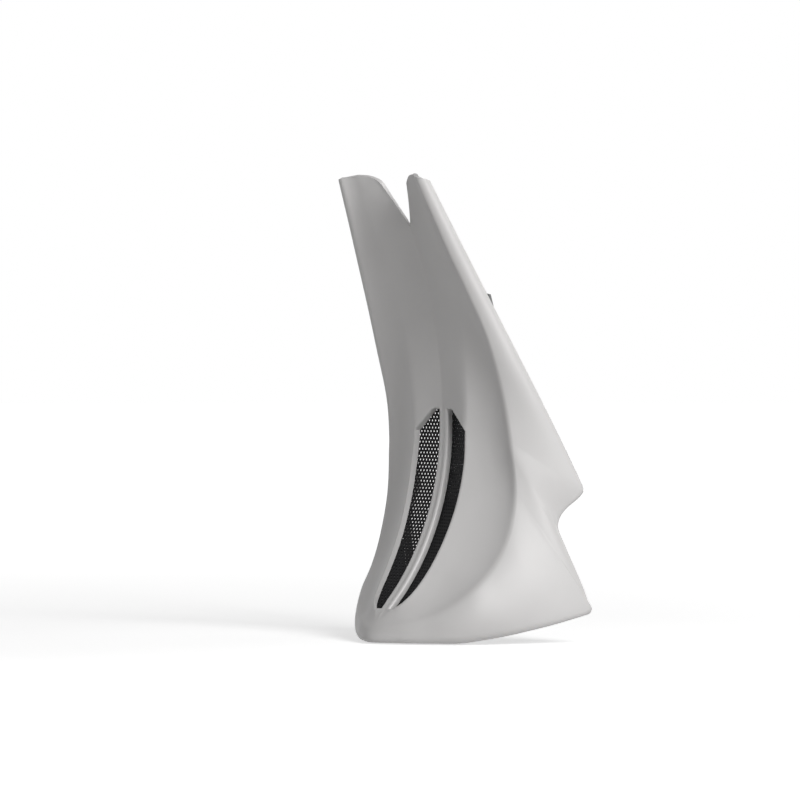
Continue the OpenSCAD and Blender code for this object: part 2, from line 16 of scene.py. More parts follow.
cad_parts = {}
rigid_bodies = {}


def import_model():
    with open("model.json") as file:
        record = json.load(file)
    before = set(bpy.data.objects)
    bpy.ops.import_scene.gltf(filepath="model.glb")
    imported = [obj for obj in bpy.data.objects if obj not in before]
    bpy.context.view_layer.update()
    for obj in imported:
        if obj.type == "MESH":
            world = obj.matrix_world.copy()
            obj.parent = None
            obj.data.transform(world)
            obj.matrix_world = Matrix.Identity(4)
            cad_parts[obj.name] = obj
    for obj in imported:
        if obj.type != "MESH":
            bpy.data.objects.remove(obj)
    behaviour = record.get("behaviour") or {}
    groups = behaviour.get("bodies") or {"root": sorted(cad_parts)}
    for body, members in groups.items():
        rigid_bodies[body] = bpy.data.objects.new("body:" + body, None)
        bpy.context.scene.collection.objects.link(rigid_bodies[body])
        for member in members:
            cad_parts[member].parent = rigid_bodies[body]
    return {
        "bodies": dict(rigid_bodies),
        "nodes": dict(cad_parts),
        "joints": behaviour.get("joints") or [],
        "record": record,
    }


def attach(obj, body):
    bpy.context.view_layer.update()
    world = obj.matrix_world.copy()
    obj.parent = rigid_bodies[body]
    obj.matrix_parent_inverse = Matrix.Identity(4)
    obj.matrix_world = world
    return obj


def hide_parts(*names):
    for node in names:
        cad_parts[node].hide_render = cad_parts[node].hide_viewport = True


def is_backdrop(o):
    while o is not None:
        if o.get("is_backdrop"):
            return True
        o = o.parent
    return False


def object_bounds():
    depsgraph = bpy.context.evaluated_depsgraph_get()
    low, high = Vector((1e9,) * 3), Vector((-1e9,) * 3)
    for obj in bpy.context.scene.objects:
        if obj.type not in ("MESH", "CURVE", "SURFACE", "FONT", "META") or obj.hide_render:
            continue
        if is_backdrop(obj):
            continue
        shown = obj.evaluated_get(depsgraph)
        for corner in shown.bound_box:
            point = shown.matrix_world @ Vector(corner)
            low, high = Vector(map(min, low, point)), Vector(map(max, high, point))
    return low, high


Value = TypeVar("Value", float, np.ndarray)

LOG = logging.getLogger("spoiler")
MM = 0.001
ROOT = "root"
TIP_COVER = 0.7 * MM


class Side(enum.Enum):
    """The rider's side a mirrored piece is on."""

    LEFT = 1
    RIGHT = -1

    @property
    def prefix(self) -> str:
        """Name prefix of the CAD nodes on this side."""
        return self.name.lower()


class Slot(enum.Enum):
    """Material slots of the record."""

    PAINT = "silver_paint"
    MESH = "black_mesh"
    ZINC = "zinc_plate"
    DARK = "dark_steel"
    NYLON = "black_nylon"
    RUBBER = "rubber"
    COATED = "coated_steel"
    BRASS = "brass"


class Zone(enum.Enum):
    """Strips of the shell from the middle outward."""

    BAR = enum.auto()
    VENT = enum.auto()
    RIM = enum.auto()
    LAND = enum.auto()
    COVE = enum.auto()
    CREASE = enum.auto()
    PANEL = enum.auto()
    EDGE = enum.auto()
    FLANGE = enum.auto()


def lerp(a: Value, b: Value, f: float) -> Value:
    """Mixes two values or vectors."""
    return a + (b - a) * f


def unit(v: np.ndarray) -> np.ndarray:
    """Scales a vector to length one."""
    return v / max(float(np.linalg.norm(v)), 1e-4)


def smooth(a: float, b: float, x: float) -> float:
    """Smooth step from 0 at a to 1 at b."""
    f = max(0.0, min(1.0, (x - a) / (b - a)))
    return f * f * (3 - 2 * f)


def bezier(a: np.ndarray, b: np.ndarray, c: np.ndarray, f: float) -> np.ndarray:
    """Point on a quadratic curve."""
    return lerp(lerp(a, b, f), lerp(b, c, f), f)


def mirror(v: np.ndarray) -> np.ndarray:
    """Mirrors points across the middle plane."""
    return v * np.array([-1.0, 1.0, 1.0])


def spline(knots: np.ndarray, s: float) -> np.ndarray:
    """Smooth curve through evenly numbered knots, mirrored before the first.

    Args:
        knots: One row for each station.
        s: Station to read.

    Returns:
        The point at that station.
    """
    last = len(knots) - 1
    i = max(0, min(int(math.floor(s)), last - 1))
    f = s - i
    a = mirror(knots[1]) if i == 0 else knots[i - 1]
    b, c, d = knots[i], knots[i + 1], knots[min(i + 2, last)]
    return (2 * b + f * (c - a + f * (2 * a - 5 * b + 4 * c - d + f * (3 * b - a - 3 * c + d)))) / 2


@dataclass(frozen=True)
class ShellForm:
    """The moulding's surface, in millimetres from the nose, as the CAD source defines it."""

    wall: float = 4.0
    rim_depth: float = 8.0
    rim_round: float = 3.0
    bar_w: float = 13.0
    flange_w: float = 28.0
    lip_w: float = 9.0
    edge_round: float = 9.0
    crease_round: float = 5.0
    cove_depth: float = 9.0
    side_swell: float = 4.0
    notch_depth: float = 36.0
    notch_top: float = 158.0
    notch_base: float = 36.0
    notch_run: float = 94.0
    notch_drop: float = 27.5
    notch_blend: float = 26.0
    notch_ease: float = 11.0
    corner: tuple = (6.82, 7.07)
    rear_bow: float = 22.0
    turn_to_y: float = 150.0
    narrow_low: float = 0.2
    narrow_span: float = 40.0
    cove_at: float = 0.62
    cove_pull: tuple = (-0.15, 1, -0.1)
    land_w: float = 4.8
    seat_w: float = 9.0
    rear_round: float = 5.0
    cove_fade: float = 0.6
    share_max: float = 0.45
    swell_in: tuple = (1, 4)
    cove_in: tuple = (0, 4)
    cove_out: tuple = (7.5, 12)
    level_in: tuple = (1, 2)
    level_out: tuple = (8.1, 9.4)
    horn: tuple = (13, 14)
    crease_in: tuple = (-0.6, 1.5)
    rear_in: tuple = (5, 7.3)
    lip_in: tuple = (5.6, 7.3)
    turn_at: tuple = (5, 7)
    lower_r: float = 262.0
    upper_r: float = 520.0
    waist_z: float = 225.0
    waist_y: float = 104.0
    vent_lean: float = 8.0
    split_slope: float = 0.457
    split_station: float = 12.5
    mid_y: float = 95.08
    vent_lo: float = 1.0
    vent_hi: float = 8.0
    centre_z: tuple = (30, 37, 46, 60, 83, 115, 155, 200, 245, 290, 337, 381, 420, 455, 484)
    ridge_x: tuple = (0, 14, 23, 30.5, 35, 38.5, 41.5, 42.5, 41, 43, 45, 45, 45, 44, 44)
    ridge_z: tuple = (21, 36, 43, 57, 79, 109, 146, 186, 222, 262, 320, 365, 411, 452, 492)
    ridge_in: tuple = (-4.6, 2, 3.4, 4.5, 5.1, 5.7, 6.1, 6.2, 6, 6.2, 4.5, 5.8, 12.6, 12.8, 7.8)
    crease_x: tuple = (0, 30, 56, 75, 90, 99, 104.5, 105, 99.5, 95.5, 92, 84, 75, 68, 62)
    crease_y: tuple = (7, 16, 34, 50, 67, 88, 104, 114, 111.5, 104, 86, 67, 46, 28, 11)
    crease_z: tuple = (15, 19, 27, 39, 56, 80, 112, 158, 212, 262, 319, 365, 411, 452, 489.5)
    skirt_x: tuple = (0, 33, 59, 81, 101, 120, 137, 151)
    skirt_y: tuple = (-1, 14, 33, 53, 78, 106, 141, 183)
    skirt_z: tuple = (0, 0, 0, 0, 4, 10, 19, 31)
    corner_mid: tuple = (141, 182.5, 158)
    corner_top: tuple = (67, 30, 485.7)

    @staticmethod
    def table(*columns: tuple) -> np.ndarray:
        """Joins coordinate lists into knots."""
        return np.array(columns, dtype=float).T

    @property
    def seat_r(self) -> float:
        """Radius of the leaning cylinder the mesh sits on."""
        return self.lower_r * math.cos(math.radians(self.vent_lean)) + self.rim_depth

    def face_at(self, z: float) -> float:
        """Depth of the face on the centre line.

        Args:
            z: Height.

        Returns:
            Distance behind the nose.
        """
        r = self.lower_r if z < self.waist_z else self.upper_r
        q = z - self.waist_z
        return self.waist_y - r + math.sqrt(r * r - q * q)

    def centre(self, s: float) -> np.ndarray:
        """Middle line, or the inner edge of a horn above the split.

        Args:
            s: Station.

        Returns:
            The point.
        """
        zs = self.table([0] * 15, [0] * 15, self.centre_z)
        z = float(spline(zs, s)[2])
        split = float(spline(zs, self.split_station)[2])
        return np.array([self.split_slope * max(0.0, z - split), self.face_at(z), z])

    def ridge(self, s: float) -> np.ndarray:
        """Outer edge of the vent, and the soft ridge above it."""
        p = spline(self.table(self.ridge_x, self.ridge_in, self.ridge_z), s)
        return np.array([p[0], self.face_at(float(p[2])) - p[1], p[2]])

    def crease(self, s: float) -> np.ndarray:
        """Line between the scooped front and the side panel."""
        return spline(self.table(self.crease_x, self.crease_y, self.crease_z), s)

    def edge_raw(self, s: float) -> np.ndarray:
        """Bottom edge to the rear corner, then the rear edge without its cut-out.

        Args:
            s: Station.

        Returns:
            The point.
        """
        skirt = self.table(self.skirt_x, self.skirt_y, self.skirt_z)
        if s <= 7:
            return spline(skirt, s)
        low, mid, top = skirt[7], np.array(self.corner_mid, float), np.array(self.corner_top, float)
        if s < 8:
            return lerp(low, mid, s - 7)
        f = (s - 8) / 6
        return lerp(mid, top, f) + np.array([0, self.rear_bow * f * (1 - f) ** 3, 0])

    def cut_back(self, z: float) -> float:
        """How far the cut-out takes the rear edge forward.

        Args:
            z: Height.

        Returns:
            The distance along the panel.
        """
        low = (z - self.notch_base) * self.notch_depth / self.notch_run
        high = (self.notch_top - z) * self.notch_depth / self.notch_drop
        blend, ease = self.notch_blend, self.notch_ease
        h = max(blend - abs(low - high), 0) / blend
        both = min(low, high) - h * h * blend / 4
        g = max(ease - abs(both), 0) / ease
        return max(both, 0) + g * g * ease / 4

    def edge(self, s: float) -> np.ndarray:
        """Outer boundary of the moulding.

        Args:
            s: Station.

        Returns:
            The sharp corner the edge rounding starts from.
        """
        low = self.edge_raw(7.0)
        start, end = self.corner
        if start < s < end:
            p = bezier(self.edge_raw(start), low, self.edge_raw(end), (s - start) / (end - start))
        else:
            p = self.edge_raw(s)
        p = np.array([p[0], p[1], max(0.0, p[2])])
        if s <= 7:
            return p
        away = (p - self.crease(s)) * np.array([1.0, 1.0, 0.0])
        return p - unit(away) * self.cut_back(float(p[2])) * smooth(7, 7.1, s)

    def turn_in(self, s: float) -> np.ndarray:
        """Direction in which the flange or lip turns inward.

        Args:
            s: Station.

        Returns:
            A horizontal unit vector.
        """
        b, e = self.edge(s), self.crease(s)
        low = unit(np.array([-b[0], self.turn_to_y - b[1], 0]))
        d = unit(np.array([b[0] - e[0], b[1] - e[1], 0]))
        return unit(lerp(low, np.array([-d[1], d[0], 0]), smooth(*self.turn_at, s)))

    def narrow(self, s: float) -> float:
        """Scale of the rim lands where the wing is narrow."""
        span = float(self.crease(s)[0] - self.ridge(s)[0])
        return max(self.narrow_low, min(1.0, span / self.narrow_span))

    def seat(self, x: float, z: float) -> np.ndarray:
        """Point of the cylinder behind the vents.

        Args:
            x: Across.
            z: Height.

        Returns:
            The point.
        """
        lean = math.radians(self.vent_lean)
        q = z - self.waist_z
        depth = (math.sqrt(self.seat_r**2 - q * q) - x * math.sin(lean)) / math.cos(lean)
        return np.array([x, self.waist_y - self.lower_r + depth, z])

    def raised(self, z: float) -> float:
        """Height of a face point once it is carried back to the seat."""
        return self.waist_z + (z - self.waist_z) * (1 + self.rim_depth / self.lower_r)


@dataclass(frozen=True)
class Zones:
    """How many points each strip of the shell gets, from the middle outward."""

    bar: tuple = (0.0, 0.3, 0.54, 0.66, 0.78, 0.88, 0.96, 1.0)
    vent: int = 10
    land: tuple = (0.12, 0.25, 0.4, 0.6, 0.8, 1.0)
    cove: int = 18
    crease: int = 7
    panel: int = 16
    edge: int = 9
    flange: int = 3


@dataclass(frozen=True)
class Window:
    """Where the vent and the split are in the grid."""

    lo: int
    hi: int
    v1: int
    v2: int
    split: int

    def holds(self, i: int, j: int) -> bool:
        """Whether the quad that starts at a row and column is open."""
        return self.lo <= i < self.hi and self.v1 <= j < self.v2


@dataclass
class ShellSkin:
    """Builds the fine visual shell from the same form as the CAD moulding."""

    form: ShellForm = field(default_factory=ShellForm)
    zones: Zones = field(default_factory=Zones)
    bolt_r: float = 3.1
    csk_r: float = 6.05
    csk_h: float = 3.0
    bolt_x: float = 60.0
    bolt_y: float = 58.0
    sharp_deg: float = 38.0
    spray: float = 16.0
    crown_at: float = 0.55
    crown_rise: float = 8.4
    crown_fall: float = 2.9
    cover: float = 1.8
    reach: float = 14.0
    soft_low: tuple = (0.86, 0.97)
    soft_high: tuple = (8.04, 8.3)
    seat_low: tuple = (0.74, 0.9)
    seat_high: tuple = (8.17, 8.36)
    marks: tuple = ((0.0, 0.7, 10), (0.7, 1.0, 9), (1.0, 2.0, 14), (2.0, 6.0, 34), (6.0, 6.82, 8),
                    (6.82, 7.2, 14), (7.2, 7.7, 14), (7.7, 8.0, 16), (8.0, 8.08, 6), (8.08, 8.36, 5),
                    (8.36, 12.5, 44), (12.5, 13.4, 10), (13.4, 14.0, 16))

    def stations(self) -> list[float]:
        """Rows of the grid, closer where the form turns quickly.

        Returns:
            Increasing station values.
        """
        out: list[float] = []
        for a, b, n in self.marks:
            out += [a + (b - a) * k / n for k in range(n)]
        return out + [self.marks[-1][1]]

    def row(self, s: float) -> tuple[list[np.ndarray], list[tuple[Zone, float]]]:
        """One row of surface points with a tag for each.

        Args:
            s: Station.

        Returns:
            The points, and each one's zone and position inside it.
        """
        f, z = self.form, self.zones
        # middle, vent edge, crease and boundary; n and m are the control points of the panel and cove
        c, v, e, b = f.centre(s), f.ridge(s), f.crease(s), f.edge(s)
        d = unit(np.array([b[1] - e[1], e[0] - b[0], 0]))
        n = (e + b) / 2 + d * 2 * f.side_swell * smooth(*f.swell_in, s)
        cove = f.cove_depth * (smooth(*f.cove_in, s) - f.cove_fade * smooth(*f.cove_out, s))
        m = lerp(v, e, f.cove_at) + np.array(f.cove_pull) * cove
        share = min(f.share_max, f.bar_w / 2 / max(float(v[0] - c[0]), 0.01))
        k = 1 - smooth(*f.level_in, s) + smooth(*f.level_out, s)
        t = smooth(*f.horn, s)
        a = lerp(c, v, share)
        v1 = np.array([a[0], a[1], lerp(c[2], a[2], k)])
        w = f.narrow(s)
        p3 = unit(m - v)
        cr = f.crease_round * smooth(*f.crease_in, s)
        er = lerp(f.edge_round, f.rear_round, smooth(*f.rear_in, s))
        turn = f.turn_in(s)
        e0, e2 = e + unit(m - e) * cr, e + unit(n - e) * cr
        b0, b2 = b + unit(n - b) * er, b + turn * er
        v8 = v + p3 * f.land_w * w
        width = lerp(f.flange_w, f.lip_w, smooth(*f.lip_in, s))
        points: list[np.ndarray] = []
        tags: list[tuple[Zone, float]] = []

        def put(p: np.ndarray, zone: Zone, g: float) -> None:
            """Adds a point."""
            points.append(p)
            tags.append((zone, g))

        for g in z.bar:
            put(lerp(c, v1, g), Zone.BAR, g)
        for i in range(1, z.vent):
            g = i / z.vent
            q = lerp(max(0.0, (g - 0.25) / 0.75), g, min(1.0, k))
            r = lerp(q, 1 - (1 - q) ** 3, t)
            put(np.array([lerp(v1[0], v[0], g), lerp(v1[1], v[1], g), lerp(v1[2], v[2], r)]), Zone.VENT, g)
        put(v, Zone.RIM, 0.0)
        for g in z.land:
            put(v + p3 * f.land_w * w * g, Zone.LAND, g)
        for i in range(1, z.cove):
            put(bezier(v8, m, e0, i / z.cove), Zone.COVE, i / z.cove)
        for i in range(z.crease):
            put(bezier(e0, e, e2, i / (z.crease - 1)), Zone.CREASE, i / (z.crease - 1))
        for i in range(1, z.panel):
            put(bezier(e2, n, b0, i / z.panel), Zone.PANEL, i / z.panel)
        for i in range(z.edge):
            put(bezier(b0, b, b2, i / (z.edge - 1)), Zone.EDGE, i / (z.edge - 1))
        end = b + turn * width
        for i in range(1, z.flange + 1):
            put(lerp(b2, end, i / z.flange), Zone.FLANGE, i / z.flange)
        return points, tags

    def soften(self, grid: np.ndarray, rows: list[float], tags: list[tuple[Zone, float]]) -> np.ndarray:
        """Rounds the ridge above and below the vents.

        Args:
            grid: Surface points.
            rows: Station of each row.
            tags: Zone of each column.

        Returns:
            The grid with a soft ridge outside the vents.
        """
        out = grid.copy()
        rim = tags.index((Zone.RIM, 0.0))
        reach = len(self.zones.land)
        for i, s in enumerate(rows):
            share = 1 - smooth(*self.soft_low, s) if s < 4 else smooth(*self.soft_high, s)
            if share <= 0:
                continue
            a, b, c = grid[i, rim - 2], grid[i, rim], grid[i, rim + reach]
            for j in range(rim - 2, rim + reach + 1):
                g = (j - rim + 2) / (reach + 2)
                out[i, j] = lerp(grid[i, j], bezier(a, b, c, g), share)
        return out

    def normals(self, grid: np.ndarray, split_row: int) -> np.ndarray:
        """Outward directions from neighbouring points.

        Args:
            grid: Surface points.
            split_row: Last row on which the first column is on the middle plane.

        Returns:
            Unit vectors, same shape as the grid.
        """
        across = np.empty_like(grid)
        across[:, 1:-1] = grid[:, 2:] - grid[:, :-2]
        across[:, -1] = grid[:, -1] - grid[:, -2]
        across[:, 0] = grid[:, 1] - grid[:, 0]
        across[: split_row + 1, 0] = grid[: split_row + 1, 1] - mirror(grid[: split_row + 1, 1])
        along = np.empty_like(grid)
        along[1:-1] = grid[2:] - grid[:-2]
        along[-1] = grid[-1] - grid[-2]
        along[0] = grid[1] - mirror(grid[1])
        out = np.cross(across, along)
        return out / np.maximum(np.linalg.norm(out, axis=2, keepdims=True), 1e-9)

    def roll(self, d: float) -> float:
        """Quarter-round fall of the surface towards the vent's edge.

        Args:
            d: Distance from that edge.

        Returns:
            How far the surface is set in.
        """
        r = self.form.rim_round
        if d >= r:
            return 0.0
        g = 1 - d / r
        return r * (1 - math.sqrt(max(0.0, 1 - g * g)))

    def build(self) -> bpy.types.Object:
        """Makes the closed, mirrored shell.

        Returns:
            The new object, at the origin.
        """
        f = self.form
        rows = self.stations()
        built = [self.row(s) for s in rows]
        tags = built[0][1]
        grid = self.soften(np.array([b[0] for b in built]), rows, tags)
        self.crown(grid, rows, tags)
        lo, hi, split = (min(range(len(rows)), key=lambda i: abs(rows[i] - at))
                         for at in (f.vent_lo, f.vent_hi, f.split_station))
        v1, v2 = tags.index((Zone.BAR, 1.0)), tags.index((Zone.RIM, 0.0))
        window = Window(lo, hi, v1, v2, split)
        out = self.normals(grid, split)
        outer, inner = grid.copy(), grid - out * f.wall
        n_cols = grid.shape[1]
        for i, s in enumerate(rows):
            for j in range(n_cols):
                zone, g = tags[j]
                if zone in (Zone.COVE, Zone.CREASE, Zone.PANEL, Zone.EDGE, Zone.FLANGE):
                    continue
                col = np.linalg.norm(grid[i, j] - grid[i, v1]) if j < v1 else (
                    np.linalg.norm(grid[i, j] - grid[i, v2]) if j > v2 else 0.0)
                ref = lo if i < lo else hi if i > hi else i
                line = np.linalg.norm(grid[i, j] - grid[ref, j])
                inside = lo < i < hi and v1 < j < v2
                if not inside:
                    outer[i, j] = grid[i, j] - out[i, j] * self.roll(math.hypot(col, line))
            rise = smooth(*self.seat_low, s) if s < 4 else 1 - smooth(*self.seat_high, s)
            if rise <= 0:
                continue
            w = f.narrow(s)
            shift = None
            for j in range(n_cols):
                zone, g = tags[j]
                p = grid[i, j]
                if zone in (Zone.BAR, Zone.VENT, Zone.RIM, Zone.LAND):
                    x = grid[i, v2][0] + f.seat_w * w * g if zone == Zone.LAND else p[0]
                    target = f.seat(float(x), f.raised(float(p[2])))
                    shift = target - inner[i, j]
                    inner[i, j] = lerp(inner[i, j], target, rise)
                elif zone == Zone.COVE and g < 0.25:
                    inner[i, j] = inner[i, j] + shift * rise * (1 - g / 0.25)
        self.tuck(outer, inner, window)
        return self.assemble(outer, inner, window)

    def crown(self, grid: np.ndarray, rows: list[float], tags: list[tuple[Zone, float]]) -> None:
        """Gives each horn its rounded top.

        Args:
            grid: Surface points, changed in place.
            rows: Station of each row.
            tags: Zone of each column.
        """
        last = grid[-1].copy()
        start, end = last[0][0], last[tags.index((Zone.CREASE, 0.5))][0]
        for j, (zone, g) in enumerate(tags):
            if zone in (Zone.PANEL, Zone.EDGE, Zone.FLANGE) or (zone == Zone.CREASE and g > 0.5):
                continue
            u = min(1.0, (last[j][0] - start) / (end - start))
            rise = 1 - (1 - min(1.0, u / self.crown_at)) ** 3
            target = last[0][2] + self.crown_rise * rise - self.crown_fall * smooth(self.crown_at, 1, u)
            for i, s in enumerate(rows):
                grid[i, j, 2] += (target - last[j][2]) * smooth(*self.form.horn, s)

    def tuck(self, outer: np.ndarray, inner: np.ndarray, window: Window) -> None:
        """Keeps the inner skin behind the outer one where the form turns tightly.

        Args:
            outer: Outer surface points.
            inner: Inner surface points, changed in place.
            window: Place of the vent in the grid.
        """
        n_rows, n_cols = outer.shape[:2]
        flat = np.concatenate([outer.reshape(-1, 3), mirror(outer.reshape(-1, 3))])
        faces = []
        for i in range(n_rows - 1):
            for j in range(n_cols - 1):
                if window.holds(i, j):
                    continue
                a, b = i * n_cols + j, (i + 1) * n_cols + j
                faces.append((a, a + 1, b + 1, b))
                faces.append(tuple(k + n_rows * n_cols for k in (b, b + 1, a + 1, a)))
        tree = BVHTree.FromPolygons([tuple(v) for v in flat], faces)
        back, front = Vector((0, 1, 0)), Vector((0, -1, 0))
        moved = 0
        for i in range(n_rows):
            for j in range(n_cols):
                p = Vector(inner[i, j])
                _, normal, _, gap = tree.ray_cast(p, back, self.reach)
                push = gap + self.cover if normal is not None and normal.y < -0.05 else 0.0
                if not push:
                    _, normal, _, gap = tree.ray_cast(p, front, self.cover)
                    push = self.cover - gap if normal is not None and normal.y < -0.3 else 0.0
                if push:
                    inner[i, j, 1] += push
                    moved += 1
        LOG.info("painted_shell: %d inner points set back", moved)

    def assemble(self, outer: np.ndarray, inner: np.ndarray, window: Window) -> bpy.types.Object:
        """Joins both skins and both halves into one closed mesh.

        Args:
            outer: Outer surface points.
            inner: Inner surface points.
            window: Place of the vent and the split in the grid.

        Returns:
            The new object.
        """
        lo, hi, v1, v2 = window.lo, window.hi, window.v1, window.v2
        n_rows, n_cols = outer.shape[:2]
        layer = n_rows * n_cols
        verts = np.concatenate([outer.reshape(-1, 3), mirror(outer.reshape(-1, 3)),
                                inner.reshape(-1, 3), mirror(inner.reshape(-1, 3))])
        verts[:, 1] -= self.form.mid_y
        verts *= MM

        def vid(skin: int, side: Side, i: int, j: int) -> int:
            """Index of a vertex."""
            shared = side is Side.LEFT or i == 0 or (j == 0 and i <= window.split)
            return i * n_cols + j + layer * (2 * skin + (0 if shared else 1))

        faces: list[tuple] = []
        for side in Side:
            left = side is Side.LEFT

            def add(a: int, b: int, c: int, d: int, turn: bool) -> None:
                """Adds one face."""
                faces.append((a, d, c, b) if turn else (a, b, c, d))

            for i in range(n_rows - 1):
                for j in range(n_cols - 1):
                    if window.holds(i, j):
                        continue
                    for skin in (0, 1):
                        ids = [vid(skin, side, *p) for p in ((i, j), (i, j + 1), (i + 1, j + 1), (i + 1, j))]
                        turn = left == (skin == 1)
                        if i == 0 and j == 0:
                            a, b, c, d = ids
                            faces.append((a, c, b) if turn else (a, b, c))
                            faces.append((a, d, c) if turn else (a, c, d))
                        else:
                            add(*ids, turn)
            border = [((i, n_cols - 1), (i + 1, n_cols - 1)) for i in range(n_rows - 1)]
            border += [((n_rows - 1, j + 1), (n_rows - 1, j)) for j in range(n_cols - 1)]
            border += [((i + 1, 0), (i, 0)) for i in range(window.split, n_rows - 1)]
            border += [((i, v1), (i + 1, v1)) for i in range(lo, hi)]
            border += [((i + 1, v2), (i, v2)) for i in range(lo, hi)]
            border += [((lo, j + 1), (lo, j)) for j in range(v1, v2)]
            border += [((hi, j), (hi, j + 1)) for j in range(v1, v2)]
            for a, b in border:
                add(vid(0, side, *a), vid(0, side, *b), vid(1, side, *b), vid(1, side, *a), left)
        used = sorted({v for face in faces for v in face})
        remap = {v: k for k, v in enumerate(used)}
        obj = make_object("painted_shell", verts[used], [tuple(remap[v] for v in face) for face in faces])
        rim = sorted({k for a, b in border for k in (a, b)})
        self.mark_inside(obj, inner, [inner[k] for k in rim], used, layer)
        outward(obj)
        self.drill(obj)
        obj.data.shade_smooth()
        obj.data.set_sharp_from_angle(angle=math.radians(self.sharp_deg))
        return obj

    def mark_inside(self, obj: bpy.types.Object, inner: np.ndarray, rim: list, used: list[int],
                    layer: int) -> None:
        """Stores how far each point is past the reach of the paint.

        Args:
            obj: The shell.
            inner: Inner surface points.
            rim: Points along its borders.
            used: Original index of each vertex.
            layer: Number of points in one skin.
        """
        flat = inner.reshape(-1, 3)
        gap = np.full(len(flat), 1e9)
        for chunk in np.array_split(np.array(rim), 12):
            gap = np.minimum(gap, np.linalg.norm(flat[:, None, :] - chunk[None, :, :], axis=2).min(axis=1))
        bare = np.clip(gap / self.spray, 0, 1)
        values = [float(bare[k % layer]) if k >= 2 * layer else 0.0 for k in used]
        obj.data.attributes.new("bare", "FLOAT", "POINT").data.foreach_set("value", values)

    def drill(self, obj: bpy.types.Object) -> None:
        """Cuts the countersunk bracket holes out of the flange.

        Args:
            obj: The shell.
        """
        y = self.bolt_y - self.form.mid_y
        for side in Side:
            turned = lathe([(0, -2), (self.csk_r, -2), (self.csk_r, 0), (self.bolt_r, self.csk_h),
                            (self.bolt_r, 6), (0, 6)], 48, (side.value * self.bolt_x, y, 0))
            cutter = make_object("cutter", turned[0], turned[1])
            outward(cutter)
            mod = obj.modifiers.new("drill", "BOOLEAN")
            mod.operation, mod.object, mod.solver = "DIFFERENCE", cutter, "EXACT"
            apply_all(obj)
            bpy.data.objects.remove(cutter)


def lathe(profile: list[tuple], count: int, origin: tuple) -> tuple[np.ndarray, list[tuple]]:
    """Turns a profile about the vertical axis.

    Args:
        profile: Radius and height pairs in millimetres, closed at both ends by radius 0.
        count: Steps round.
        origin: Place of the axis in millimetres.

    Returns:
        Vertices in metres and faces.
    """
    verts, faces = [], []
    rings = []
    for r, z in profile:
        if r == 0:
            rings.append([len(verts)])
            verts.append((0, 0, z))
        else:
            rings.append(list(range(len(verts), len(verts) + count)))
            verts += [(r * math.cos(a), r * math.sin(a), z)
                      for a in (2 * math.pi * k / count for k in range(count))]
    for low, high in zip(rings, rings[1:]):
        for k in range(count):
            n = (k + 1) % count
            if len(low) == 1:
                faces.append((low[0], high[n], high[k]))
            elif len(high) == 1:
                faces.append((low[k], low[n], high[0]))
            else:
                faces.append((low[k], low[n], high[n], high[k]))
    return (np.array(verts, float) + np.array(origin, float)) * MM, faces


def make_object(name: str, verts: np.ndarray, faces: list[tuple]) -> bpy.types.Object:
    """Makes a mesh object at the origin.

    Args:
        name: Its name.
        verts: Vertices in metres.
        faces: Vertex indices.

    Returns:
        The object, linked to the scene.
    """
    mesh = bpy.data.meshes.new(name)
    mesh.from_pydata([tuple(float(x) for x in v) for v in verts], [], faces)
    mesh.update()
    obj = bpy.data.objects.new(name, mesh)
    bpy.context.scene.collection.objects.link(obj)
    return obj


def outward(obj: bpy.types.Object) -> None:
    """Turns every face of a closed mesh to face out.

    Args:
        obj: The object.
    """
    bm = bmesh.new()
    bm.from_mesh(obj.data)
    bmesh.ops.recalc_face_normals(bm, faces=bm.faces)
    if bm.calc_volume(signed=True) < 0:
        bmesh.ops.reverse_faces(bm, faces=bm.faces)
    bm.to_mesh(obj.data)
    bm.free()


def preset(node: bpy.types.Node, values: dict[str, object]) -> None:
    """Sets a node's input sockets by name."""
    for key, value in values.items():
        node.inputs[key].default_value = value


def wire(tree: bpy.types.NodeTree, *links: tuple) -> None:
    """Links nodes, each link as source, output, target and input."""
    for source, output, target, name in links:
        tree.links.new(source.outputs[output], target.inputs[name])


def apply_all(obj: bpy.types.Object) -> None:
    """Replaces an object's mesh by its evaluated form and drops its modifiers.

    Args:
        obj: The object.
    """
    graph = bpy.context.evaluated_depsgraph_get()
    mesh = bpy.data.meshes.new_from_object(obj.evaluated_get(graph), depsgraph=graph)
    obj.modifiers.clear()
    obj.data = mesh


